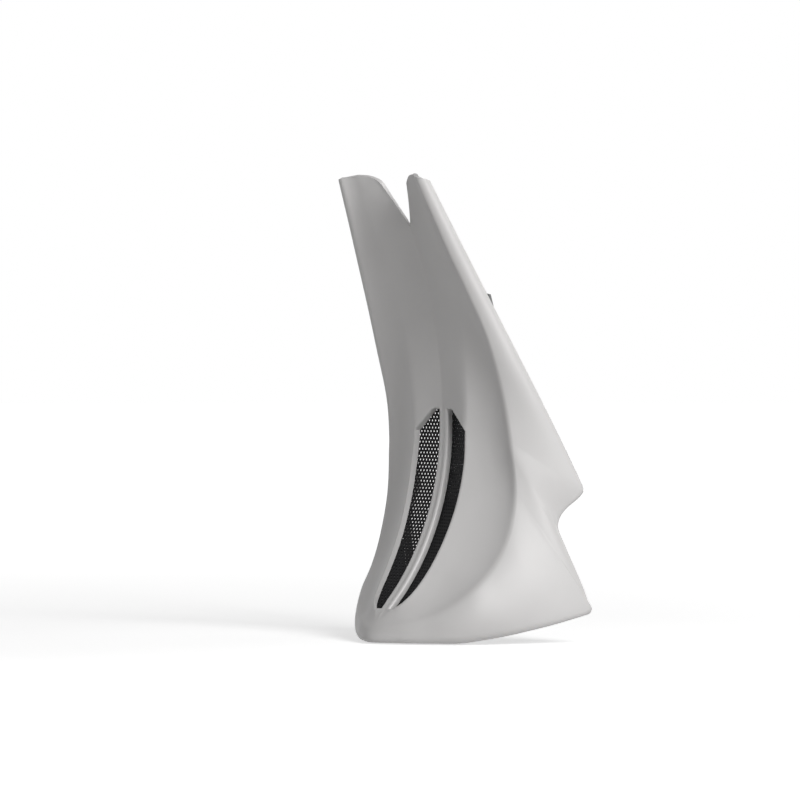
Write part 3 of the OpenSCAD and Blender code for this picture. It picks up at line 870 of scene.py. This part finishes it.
@dataclass
class HexMesh:
    """Fine hexagonal mesh panel behind one vent, laid out by Geometry Nodes."""

    side: Side
    form: ShellForm = field(default_factory=ShellForm)
    pitch: float = 4.4
    strand: float = 2.15
    thickness: float = 1.4
    border_t: float = 1.45
    seam: float = 0.05
    lap: float = 7.0
    lap_inner: float = 1.2
    low: float = 28.5
    inner_x: float = 0.8
    sink: float = 0.2
    ring_margin: float = 2.6
    rows_z: tuple = (34, 262)
    columns: tuple = (-12, 14)
    first_c: float = -9.0
    corner_share: float = 0.25
    border_counts: tuple = (8, 90, 8, 80)

    def at(self, x: float, z: float, lift: float) -> np.ndarray:
        """Point behind the vent on the seat cylinder.

        Args:
            x: Across, on the left half.
            z: Height.
            lift: Distance rearward of the seat.

        Returns:
            The point in millimetres from the nose.
        """
        f = self.form
        lean = math.radians(f.vent_lean)
        angle = math.asin((z - f.waist_z) / f.seat_r)
        c = (x - f.seat_r * math.cos(angle) * math.sin(lean)) / math.cos(lean)
        r = f.seat_r + lift
        deep = r * math.cos(angle)
        px = deep * math.sin(lean) + c * math.cos(lean)
        py = deep * math.cos(lean) - c * math.sin(lean) + f.waist_y - f.lower_r
        return np.array([px, py, f.waist_z + r * math.sin(angle)])

    def outline(self, margin: float) -> list[tuple[float, float]]:
        """Outline of the vent seen from the front, grown by a margin.

        Args:
            margin: Growth in millimetres.

        Returns:
            Points from the bottom inner corner, round by the outer edge.
        """
        f = self.form
        top = f.raised(float(f.centre(f.vent_hi)[2]))
        near = f.bar_w / 2 - margin
        pts = []
        for k in range(29):
            s = 1 + k / 4
            v = f.ridge(s)
            pts.append((float(v[0]) + margin * f.narrow(s), f.raised(float(v[2]))))
        pts[0] = (pts[0][0], pts[0][1] - 0.3 * margin)
        corner = f.bar_w / 2 + (float(f.ridge(f.vent_hi)[0]) - f.bar_w / 2) * self.corner_share
        low = f.raised(float(f.centre(f.vent_lo)[2])) - 0.3 * margin
        rim = top + 0.93 * margin
        return [(near, low)] + pts + [(corner + 0.5 * margin, rim), (near, rim)]

    def world(self, p: np.ndarray) -> np.ndarray:
        """Moves a point from the left half's frame into the row frame."""
        return np.array([self.side.value * p[0], p[1] - self.form.mid_y, p[2]]) * MM

    def border(self) -> bpy.types.Object:
        """Solid band round the panel, pressed against the rim.

        Returns:
            The band.
        """
        outer = self.resample(self.panel_edge())
        inner = self.resample(self.outline(self.lap_inner))
        n = len(outer)
        verts, faces = [], []
        for lift in (self.seam, self.seam + self.border_t):
            for ring in (outer, inner):
                verts += [self.world(self.at(x, z, lift)) for x, z in ring]
        for k in range(n):
            m = (k + 1) % n
            a, b, c, d = k, n + k, 2 * n + k, 3 * n + k
            a2, b2, c2, d2 = m, n + m, 2 * n + m, 3 * n + m
            faces += [(a, a2, b2, b), (c, d, d2, c2), (a, c, c2, a2), (b, b2, d2, d)]
        obj = make_object(f"{self.side.prefix}_mesh_border", np.array(verts), faces)
        outward(obj)
        obj.data.shade_smooth()
        obj.data.set_sharp_from_angle(angle=math.radians(35))
        return obj

    def panel_edge(self) -> list[tuple[float, float]]:
        """Outer edge of the whole panel, as cut in the CAD.

        Returns:
            Points in the same order as the vent's outline.
        """
        f = self.form
        top = f.raised(float(f.centre(f.vent_hi)[2]))
        pts = [(self.inner_x, self.low)]
        for k in range(15):
            s = 1 + k / 2
            v = f.ridge(s)
            z = self.low if k == 0 else f.raised(float(v[2]))
            pts.append((float(v[0]) + self.lap * f.narrow(s), z))
        return pts + [(17 + self.lap, top + 2), (17, top + 6.5), (self.inner_x, top + 6.5)]

    def resample(self, ring: list[tuple[float, float]]) -> list[tuple[float, float]]:
        """Spreads points evenly along each part of a closed outline.

        Args:
            ring: Corner points.

        Returns:
            Evenly spaced points with matching order.
        """
        pts = np.array(ring + [ring[0]])
        spans = np.linalg.norm(np.diff(pts, axis=0), axis=1)
        cuts = [0, 1, len(ring) - 2, len(ring) - 1, len(ring)]
        out = []
        total = np.concatenate([[0], np.cumsum(spans)])
        for (a, b), count in zip(zip(cuts, cuts[1:]), self.border_counts):
            for k in range(count):
                t = total[a] + (total[b] - total[a]) * k / count
                i = min(int(np.searchsorted(total, t, side="right")) - 1, len(spans) - 1)
                g = (t - total[i]) / max(spans[i], 1e-9)
                out.append(tuple(lerp(pts[i], pts[i + 1], g)))
        return out

    def points(self) -> bpy.types.Object:
        """Cell centres with the turn of each cell stored on them.

        Returns:
            A mesh of loose vertices.
        """
        f = self.form
        ring = self.outline(self.ring_margin)
        step = self.pitch * math.sqrt(3) / 2
        bottom = math.asin((f.raised(self.rows_z[0]) - f.waist_z) / f.seat_r)
        lean = math.radians(f.vent_lean)
        verts, turns = [], []
        top = math.asin((self.rows_z[1] - f.waist_z) / f.seat_r)
        count = int(f.seat_r * (top - bottom) / step)
        for m in range(count):
            angle = bottom + m * step / f.seat_r
            for n in range(*self.columns):
                c = n * self.pitch + (m % 2) * self.pitch / 2 + self.first_c
                z = f.waist_z + f.seat_r * math.sin(angle)
                x = f.seat_r * math.cos(angle) * math.sin(lean) + c * math.cos(lean)
                if not self.inside(ring, x, z):
                    continue
                verts.append(self.world(self.at(x, z, self.seam + self.sink)))
                along = np.array([math.cos(lean), -math.sin(lean), 0])
                back = np.array([math.sin(lean) * math.cos(angle), math.cos(lean) * math.cos(angle),
                                 math.sin(angle)])
                along[0] *= self.side.value
                back[0] *= self.side.value
                up = np.cross(back, along)
                turns.append(Matrix((along, up, back)).transposed().to_euler("XYZ"))
        obj = make_object(f"{self.side.prefix}_mesh_points", np.array(verts), [])
        turn = obj.data.attributes.new("turn", "FLOAT_VECTOR", "POINT")
        turn.data.foreach_set("vector", [float(t) for e in turns for t in e])
        return obj

    @staticmethod
    def inside(ring: list[tuple[float, float]], x: float, z: float) -> bool:
        """Whether a point is inside an outline.

        Args:
            ring: Outline corners.
            x: Across.
            z: Height.

        Returns:
            True when it is inside.
        """
        hit = False
        for (ax, az), (bx, bz) in zip(ring, ring[1:] + ring[:1]):
            if (az > z) != (bz > z) and x < ax + (z - az) * (bx - ax) / (bz - az):
                hit = not hit
        return hit

    def cell(self) -> bpy.types.Object:
        """One hexagonal ring of strands.

        Returns:
            The cell, lying in its own X-Y plane.
        """
        outer_r = self.pitch / math.sqrt(3)
        inner_r = outer_r - self.strand / math.sqrt(3)
        verts, faces = [], []
        spec = [(outer_r, 0.0), (inner_r, 0.0), (outer_r, self.thickness), (inner_r, self.thickness)]
        for r, z in spec:
            verts += [(r * math.cos(a) * MM, r * math.sin(a) * MM, z * MM)
                      for a in (math.radians(30 + 60 * k) for k in range(6))]
        for k in range(6):
            m = (k + 1) % 6
            faces += [(k, m, 6 + m, 6 + k), (12 + k, 18 + k, 18 + m, 12 + m), (k, 12 + k, 12 + m, m),
                      (6 + k, 6 + m, 18 + m, 18 + k)]
        faces = [tuple(reversed(face)) for face in faces]
        obj = make_object("hex_cell", np.array(verts), faces)
        outward(obj)
        return obj

    def tree(self) -> bpy.types.NodeTree:
        """Node tree that sets one cell on every point.

        Returns:
            The tree, with named inputs for the cell, its scale and its material.
        """
        tree = bpy.data.node_groups.new("hex_mesh", "GeometryNodeTree")
        for name, kind in (("Geometry", "Geometry"), ("Cell", "Object"), ("Cell Scale", "Float"),
                           ("Material", "Material")):
            tree.interface.new_socket(name, in_out="INPUT", socket_type=f"NodeSocket{kind}")
        tree.interface.new_socket("Geometry", in_out="OUTPUT", socket_type="NodeSocketGeometry")
        add = tree.nodes.new
        start, end = add("NodeGroupInput"), add("NodeGroupOutput")
        info = add("GeometryNodeObjectInfo")
        turn = add("GeometryNodeInputNamedAttribute")
        turn.data_type = "FLOAT_VECTOR"
        turn.inputs["Name"].default_value = "turn"
        spin = add("FunctionNodeEulerToRotation")
        place = add("GeometryNodeInstanceOnPoints")
        real = add("GeometryNodeRealizeInstances")
        paint = add("GeometryNodeSetMaterial")
        wire(tree, (start, "Geometry", place, "Points"), (start, "Cell", info, "Object"),
             (info, "Geometry", place, "Instance"), (turn, "Attribute", spin, "Euler"),
             (spin, "Rotation", place, "Rotation"), (start, "Cell Scale", place, "Scale"),
             (place, "Instances", real, "Geometry"), (real, "Geometry", paint, "Geometry"),
             (start, "Material", paint, "Material"), (paint, "Geometry", end, "Geometry"))
        return tree

    def build(self, material: bpy.types.Material) -> list[bpy.types.Object]:
        """Makes the panel.

        Args:
            material: Finish of the strands.

        Returns:
            The woven part and its border.
        """
        points, cell = self.points(), self.cell()
        tree = self.tree()
        mod = points.modifiers.new("hex_mesh", "NODES")
        mod.node_group = tree
        names = {item.name: item.identifier for item in tree.interface.items_tree if item.in_out == "INPUT"}
        mod[names["Cell"]] = cell
        mod[names["Cell Scale"]] = 1.0
        mod[names["Material"]] = material
        graph = bpy.context.evaluated_depsgraph_get()
        mesh = bpy.data.meshes.new_from_object(points.evaluated_get(graph), depsgraph=graph)
        woven = bpy.data.objects.new(f"{self.side.prefix}_mesh_cells", mesh)
        bpy.context.scene.collection.objects.link(woven)
        points.modifiers.clear()
        bpy.data.objects.remove(points)
        bpy.data.objects.remove(cell)
        border = self.border()
        border.data.materials.append(material)
        LOG.info("%s: %d cells, %d faces", woven.name, len(mesh.polygons) // 24, len(mesh.polygons))
        return [woven, border]


class Groups:
    """Shader node groups that more than one finish uses."""

    def __init__(self) -> None:
        """Builds the groups once."""
        self.speckle = self.make_speckle()
        self.wear = self.make_wear()

    @staticmethod
    def new(name: str, inputs: dict[str, tuple], outputs: dict[str, str]) -> bpy.types.NodeTree:
        """Starts a group.

        Args:
            name: Its name.
            inputs: Socket names with type and default.
            outputs: Socket names with type.

        Returns:
            The empty group.
        """
        tree = bpy.data.node_groups.new(name, "ShaderNodeTree")
        for key, (kind, default) in inputs.items():
            socket = tree.interface.new_socket(key, in_out="INPUT", socket_type=kind)
            socket.default_value = default
        for key, kind in outputs.items():
            tree.interface.new_socket(key, in_out="OUTPUT", socket_type=kind)
        return tree

    def make_speckle(self) -> bpy.types.NodeTree:
        """Fine grain as a height and a soft mottle as a value.

        Returns:
            The group.
        """
        number = "NodeSocketFloat"
        tree = self.new("speckle", {"Grain Scale": (number, 900.0), "Mottle Scale": (number, 9.0)},
                        {"Height": number, "Mottle": number})
        add = tree.nodes.new
        start, end, coords = add("NodeGroupInput"), add("NodeGroupOutput"), add("ShaderNodeTexCoord")
        grain, mottle = add("ShaderNodeTexNoise"), add("ShaderNodeTexNoise")
        grain.inputs["Detail"].default_value = 2.0
        mottle.inputs["Detail"].default_value = 4.0
        for node, key in ((grain, "Grain Scale"), (mottle, "Mottle Scale")):
            wire(tree, (coords, "Object", node, "Vector"), (start, key, node, "Scale"))
        wire(tree, (grain, "Fac", end, "Height"), (mottle, "Fac", end, "Mottle"))
        return tree

    def make_wear(self) -> bpy.types.NodeTree:
        """Mixes two colours by a noisy mask.

        Returns:
            The group.
        """
        number, colour, white = "NodeSocketFloat", "NodeSocketColor", (1.0, 1.0, 1.0, 1.0)
        tree = self.new("wear", {"Scale": (number, 40.0), "Amount": (number, 0.2), "Edge": (number, 0.55),
                                 "Clean": (colour, white), "Worn": (colour, white)}, {"Color": colour})
        add = tree.nodes.new
        start, end, coords = add("NodeGroupInput"), add("NodeGroupOutput"), add("ShaderNodeTexCoord")
        noise, span = add("ShaderNodeTexNoise"), add("ShaderNodeMapRange")
        times, mix = add("ShaderNodeMath"), add("ShaderNodeMix")
        mix.data_type = "RGBA"
        times.operation = "MULTIPLY"
        noise.inputs["Detail"].default_value = 6.0
        span.inputs["From Max"].default_value = 0.8
        wire(tree, (coords, "Object", noise, "Vector"), (start, "Scale", noise, "Scale"),
             (noise, "Fac", span, "Value"), (start, "Edge", span, "From Min"), (span, "Result", times, 0),
             (start, "Amount", times, 1), (times, "Value", mix, "Factor"), (start, "Clean", mix, "A"),
             (start, "Worn", mix, "B"), (mix, "Result", end, "Color"))
        return tree


@dataclass(frozen=True)
class Finish:
    """One procedural finish."""

    slot: Slot
    clean: tuple[float, float, float]
    worn: tuple[float, float, float]
    metallic: float
    rough_low: float
    rough_high: float
    grain: float = 900.0
    bump: float = 0.05
    mottle: float = 9.0
    wear: float = 0.2
    wear_scale: float = 40.0
    specular: float = 0.5
    coat: float = 0.0
    coat_rough: float = 0.3
    wear_edge: float = 0.5
    mottle_span: tuple[float, float] = (0.3, 0.7)
    bump_depth: float = 0.0002

    def make(self, groups: Groups) -> bpy.types.Material:
        """Builds the material.

        Args:
            groups: The shared node groups.

        Returns:
            The material.
        """
        mat = bpy.data.materials.new(self.slot.value)
        mat.use_nodes = True
        tree = mat.node_tree
        add = tree.nodes.new
        shader = tree.nodes["Principled BSDF"]
        speckle, wear = add("ShaderNodeGroup"), add("ShaderNodeGroup")
        speckle.node_tree, wear.node_tree = groups.speckle, groups.wear
        preset(speckle, {"Grain Scale": self.grain, "Mottle Scale": self.mottle})
        preset(wear, {"Scale": self.wear_scale, "Amount": self.wear, "Edge": self.wear_edge,
                      "Clean": (*self.clean, 1), "Worn": (*self.worn, 1)})
        rough, bump = add("ShaderNodeMapRange"), add("ShaderNodeBump")
        preset(rough, {"From Min": self.mottle_span[0], "From Max": self.mottle_span[1],
                       "To Min": self.rough_low, "To Max": self.rough_high})
        preset(bump, {"Strength": self.bump, "Distance": self.bump_depth})
        wire(tree, (speckle, "Height", bump, "Height"), (bump, "Normal", shader, "Normal"),
             (speckle, "Mottle", rough, "Value"), (rough, "Result", shader, "Roughness"),
             (wear, "Color", shader, "Base Color"))
        preset(shader, {"Metallic": self.metallic, "Specular IOR Level": self.specular,
                        "Coat Weight": self.coat, "Coat Roughness": self.coat_rough})
        return mat


@dataclass(frozen=True)
class PaintFinish(Finish):
    """Sprayed outside that fades over the rims into the bare dark inside."""

    bare: tuple[float, float, float] = (0.032, 0.032, 0.034)
    bare_rough: float = 0.62
    fade_scale: float = 70.0
    fade_span: tuple[float, float] = (0.9, 1.35)

    def make(self, groups: Groups) -> bpy.types.Material:
        """Builds the material.

        Args:
            groups: The shared node groups.

        Returns:
            The material.
        """
        mat = super().make(groups)
        tree = mat.node_tree
        add, link = tree.nodes.new, tree.links.new
        shader = tree.nodes["Principled BSDF"]
        reach, coords = add("ShaderNodeAttribute"), add("ShaderNodeTexCoord")
        cloud, both, mask = add("ShaderNodeTexNoise"), add("ShaderNodeMath"), add("ShaderNodeMapRange")
        reach.attribute_name = "bare"
        preset(cloud, {"Scale": self.fade_scale, "Detail": 3.0})
        both.operation = "ADD"
        mask.interpolation_type = "SMOOTHSTEP"
        preset(mask, {"From Min": self.fade_span[0], "From Max": self.fade_span[1]})
        wire(tree, (coords, "Object", cloud, "Vector"), (reach, "Fac", both, 0), (cloud, "Fac", both, 1),
             (both, "Value", mask, "Value"))
        for key, value, kind in (("Base Color", (*self.bare, 1), "RGBA"),
                                 ("Roughness", self.bare_rough, "FLOAT"), ("Metallic", 0.0, "FLOAT")):
            mix = add("ShaderNodeMix")
            mix.data_type = kind
            form = "RGBA" if kind == "RGBA" else "VALUE"
            socket = shader.inputs[key]
            pair = [x for x in mix.inputs if x.name in "AB" and x.type == form]
            if socket.is_linked:
                link(socket.links[0].from_socket, pair[0])
            else:
                pair[0].default_value = self.metallic
            pair[1].default_value = value
            wire(tree, (mask, "Result", mix, "Factor"))
            link(next(x for x in mix.outputs if x.type == form), socket)
        return mat


FINISHES = (
    PaintFinish(Slot.PAINT, (0.62, 0.61, 0.605), (0.57, 0.56, 0.555), 0.1, 0.46, 0.52, grain=2200,
                bump=0.12, mottle=6, wear=0.5, wear_scale=14),
    Finish(Slot.MESH, (0.008, 0.008, 0.009), (0.02, 0.02, 0.02), 0.0, 0.6, 0.7, grain=1500, bump=0.2,
           wear=0.4, specular=0.15),
    Finish(Slot.ZINC, (0.62, 0.63, 0.64), (0.45, 0.45, 0.45), 1.0, 0.28, 0.42, grain=1400, bump=0.08,
           wear=0.5, wear_scale=160),
    Finish(Slot.DARK, (0.05, 0.05, 0.055), (0.1, 0.1, 0.1), 0.8, 0.38, 0.5, grain=1400, bump=0.1,
           wear=0.4, wear_scale=200),
    Finish(Slot.NYLON, (0.018, 0.018, 0.02), (0.035, 0.035, 0.035), 0.0, 0.5, 0.6, grain=1100, bump=0.3),
    Finish(Slot.RUBBER, (0.014, 0.014, 0.014), (0.03, 0.03, 0.029), 0.0, 0.72, 0.84, grain=800, bump=0.3,
           wear=0.5),
    Finish(Slot.COATED, (0.02, 0.02, 0.022), (0.04, 0.04, 0.04), 0.0, 0.34, 0.46, grain=700, bump=0.25,
           wear=0.3),
    Finish(Slot.BRASS, (0.62, 0.42, 0.16), (0.42, 0.3, 0.14), 1.0, 0.28, 0.4, grain=1200, bump=0.1,
           wear=0.5, wear_scale=150),
)


@dataclass(frozen=True)
class Lamp:
    """One soft studio lamp."""

    name: str
    place: tuple[float, float, float]
    size: float
    power: float

    def build(self, target: Vector) -> None:
        """Adds the lamp, aimed at a point.

        Args:
            target: The point.
        """
        data = bpy.data.lights.new(self.name, "AREA")
        data.shape, data.size, data.energy = "SQUARE", self.size, self.power
        obj = bpy.data.objects.new(self.name, data)
        obj.location = self.place
        obj.rotation_euler = (target - Vector(self.place)).to_track_quat("-Z", "Y").to_euler()
        bpy.context.scene.collection.objects.link(obj)


@dataclass
class Studio:
    """Pale floor, soft light and the camera of the photograph."""

    azimuth: float = 50.0
    elevation: float = 1.0
    distance: float = 6.0
    scale: float = 0.95
    nose_px: tuple[float, float] = (368.0, 643.0)
    image_px: float = 800.0
    nose_y: float = -95.08
    floor_gap: float = 0.0015
    floor_r: float = 14.0
    floor_tone: float = 0.8
    floor_glow: float = 0.62
    glow_span: tuple[float, float] = (0.5, 3.0)
    floor_sides: int = 96
    world_level: float = 0.08
    lamps: tuple[Lamp, ...] = (
        Lamp("key", (3.2, -0.5, 1.9), 1.6, 98.0),
        Lamp("fill", (-2.4, -2.2, 1.6), 1.4, 3.0),
        Lamp("back", (0.6, 2.8, 1.2), 1.8, 12.0),
        Lamp("top", (0.5, -0.2, 2.6), 1.8, 2.0),
    )

    def aim(self) -> Vector:
        """Point seen at the middle of the picture.

        Returns:
            The point, where the nose falls on its own pixel.
        """
        across = (self.image_px / 2 - self.nose_px[0]) / self.scale
        az = math.radians(self.azimuth)
        return Vector((across * math.cos(az), self.nose_y + across * math.sin(az),
                       (self.nose_px[1] - self.image_px / 2) / self.scale)) * MM

    def build(self, low: Vector, high: Vector) -> None:
        """Adds floor, world, lamps and camera.

        Args:
            low: Lowest corner of the object.
            high: Highest corner of the object.
        """
        scene = bpy.context.scene
        scene.view_settings.view_transform = "Standard"
        middle = (low + high) / 2
        self.floor(low.z)
        self.world()
        for lamp in self.lamps:
            lamp.build(middle)
        data = bpy.data.cameras.new("camera")
        data.sensor_width = 36.0
        data.lens = 36.0 * self.distance / (self.image_px / self.scale * MM)
        data.clip_end = 40.0
        az, el = math.radians(self.azimuth), math.radians(self.elevation)
        away = Vector((math.sin(az) * math.cos(el), -math.cos(az) * math.cos(el), math.sin(el)))
        camera = bpy.data.objects.new("camera", data)
        camera.location = self.aim() + away * self.distance
        camera.rotation_euler = (-away).to_track_quat("-Z", "Y").to_euler()
        scene.collection.objects.link(camera)
        scene.camera = camera

    def floor(self, z: float) -> None:
        """Adds a pale round floor that keeps the object's shadow.

        Args:
            z: Height the object stands at.
        """
        count = self.floor_sides
        turn = [2 * math.pi * k / count for k in range(count)]
        verts = [(self.floor_r * math.cos(a), self.floor_r * math.sin(a), z - self.floor_gap) for a in turn]
        obj = make_object("floor", np.array(verts), [tuple(range(count))])
        mat = bpy.data.materials.new("floor")
        mat.use_nodes = True
        tree = mat.node_tree
        tree.nodes.clear()
        add = tree.nodes.new
        out, both, plain, glow = (add("ShaderNodeOutputMaterial"), add("ShaderNodeAddShader"),
                                  add("ShaderNodeBsdfDiffuse"), add("ShaderNodeEmission"))
        plain.inputs["Color"].default_value = (self.floor_tone, self.floor_tone, self.floor_tone, 1)
        coords, far, level, share = (add("ShaderNodeTexCoord"), add("ShaderNodeVectorMath"),
                                     add("ShaderNodeMapRange"), add("ShaderNodeMath"))
        far.operation = "LENGTH"
        preset(level, {"From Min": self.glow_span[0], "From Max": self.glow_span[1],
                       "To Min": self.floor_glow})
        share.operation = "MULTIPLY"
        tree.links.new(background_ray(tree), share.inputs[0])
        wire(tree, (coords, "Object", far, "Vector"), (far, "Value", level, "Value"),
             (level, "Result", share, 1), (share, "Value", glow, "Strength"),
             (plain, "BSDF", both, 0), (glow, "Emission", both, 1), (both, "Shader", out, "Surface"))
        obj.data.materials.append(mat)
        obj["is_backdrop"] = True

    def world(self) -> None:
        """Sets a plain world, white to the camera and to reflections."""
        world = bpy.data.worlds.new("studio")
        bpy.context.scene.world = world
        world.use_nodes = True
        tree = world.node_tree
        back = tree.nodes["Background"]
        back.inputs["Color"].default_value = (1, 1, 1, 1)
        span = tree.nodes.new("ShaderNodeMapRange")
        preset(span, {"To Min": self.world_level, "To Max": 1.0})
        tree.links.new(background_ray(tree), span.inputs["Value"])
        tree.links.new(span.outputs["Result"], back.inputs["Strength"])


def background_ray(tree: bpy.types.NodeTree) -> bpy.types.NodeSocket:
    """Value that is 1 for camera, glossy and transmission rays.

    Args:
        tree: Where to add it.

    Returns:
        The output socket.
    """
    path = tree.nodes.new("ShaderNodeLightPath")
    first, second = tree.nodes.new("ShaderNodeMath"), tree.nodes.new("ShaderNodeMath")
    first.operation = second.operation = "MAXIMUM"
    tree.links.new(path.outputs["Is Camera Ray"], first.inputs[0])
    tree.links.new(path.outputs["Is Glossy Ray"], first.inputs[1])
    tree.links.new(first.outputs["Value"], second.inputs[0])
    tree.links.new(path.outputs["Is Transmission Ray"], second.inputs[1])
    return second.outputs["Value"]


class Spoiler:
    """The dressed object."""

    def __init__(self, frame: dict) -> None:
        """Keeps the frame and builds the finishes.
        """
        self.frame = frame
        groups = Groups()
        self.materials = {finish.slot.value: finish.make(groups) for finish in FINISHES}
        self.slots = {row["node"]: row["material_slot"] for row in frame["record"]["subparts"]}

    def attach(self, obj: bpy.types.Object, slot: Slot, *nodes: str) -> None:
        """Gives a finished piece to the frame.

        Args:
            obj: The piece.
            slot: Its material slot.
            nodes: CAD nodes it stands for.
        """
        if not obj.data.materials:
            obj.data.materials.append(self.materials[slot.value])
        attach(obj, ROOT)
        if nodes:
            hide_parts(*nodes)
        LOG.info("%s: %d faces", obj.name, len(obj.data.polygons))

    def carried(self) -> None:
        """Puts the procedural finishes on the CAD nodes that stay."""
        for name, obj in self.frame["nodes"].items():
            obj.data.materials.clear()
            obj.data.materials.append(self.materials[self.slots[name]])
            LOG.info("%s: CAD piece in %s", name, self.slots[name])

    def seated_screws(self, shell: bpy.types.Object) -> bpy.types.Object:
        """Copies the panel screws with their tips kept inside the shell's wall.

        The lowest outer screw on each side comes through the CAD's face by about 0.2 mm.

        Args:
            shell: The dressed shell.

        Returns:
            The screws, with the heads where the CAD has them.
        """
        mesh = self.frame["nodes"]["mesh_screws"].data.copy()
        tree = BVHTree.FromPolygons([v.co for v in shell.data.vertices],
                                    [tuple(face.vertices) for face in shell.data.polygons])
        moved = 0
        for vertex in mesh.vertices:
            place, normal, _, _ = tree.find_nearest(vertex.co, 6 * MM)
            if place is not None and normal.y < 0 and (vertex.co - place).dot(normal) > -TIP_COVER:
                vertex.co = place - normal * TIP_COVER
                moved += 1
        obj = bpy.data.objects.new("seated_mesh_screws", mesh)
        bpy.context.scene.collection.objects.link(obj)
        LOG.info("%s: %d tip points set back", obj.name, moved)
        return obj

    def build(self) -> None:
        """Dresses every piece."""
        self.carried()
        shell = ShellSkin().build()
        self.attach(shell, Slot.PAINT, "shell")
        self.attach(self.seated_screws(shell), Slot(self.slots["mesh_screws"]), "mesh_screws")
        for side in Side:
            cells, border = HexMesh(side).build(self.materials[Slot.MESH.value])
            self.attach(cells, Slot.MESH, f"{side.prefix}_mesh")
            self.attach(border, Slot.MESH)


def as_lists(box: Sequence[Sequence[float]]) -> list[list[float]]:
    """Turns a box into plain lists."""
    return [[float(x) for x in corner] for corner in box]


def main() -> None:
    """Builds the scene."""
    logging.basicConfig(level=logging.INFO, format="%(name)s %(message)s")
    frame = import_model()
    cad_box = as_lists(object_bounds())
    Spoiler(frame).build()
    Studio().build(Vector(cad_box[0]), Vector(cad_box[1]))


if __name__ == "__main__":
    main()
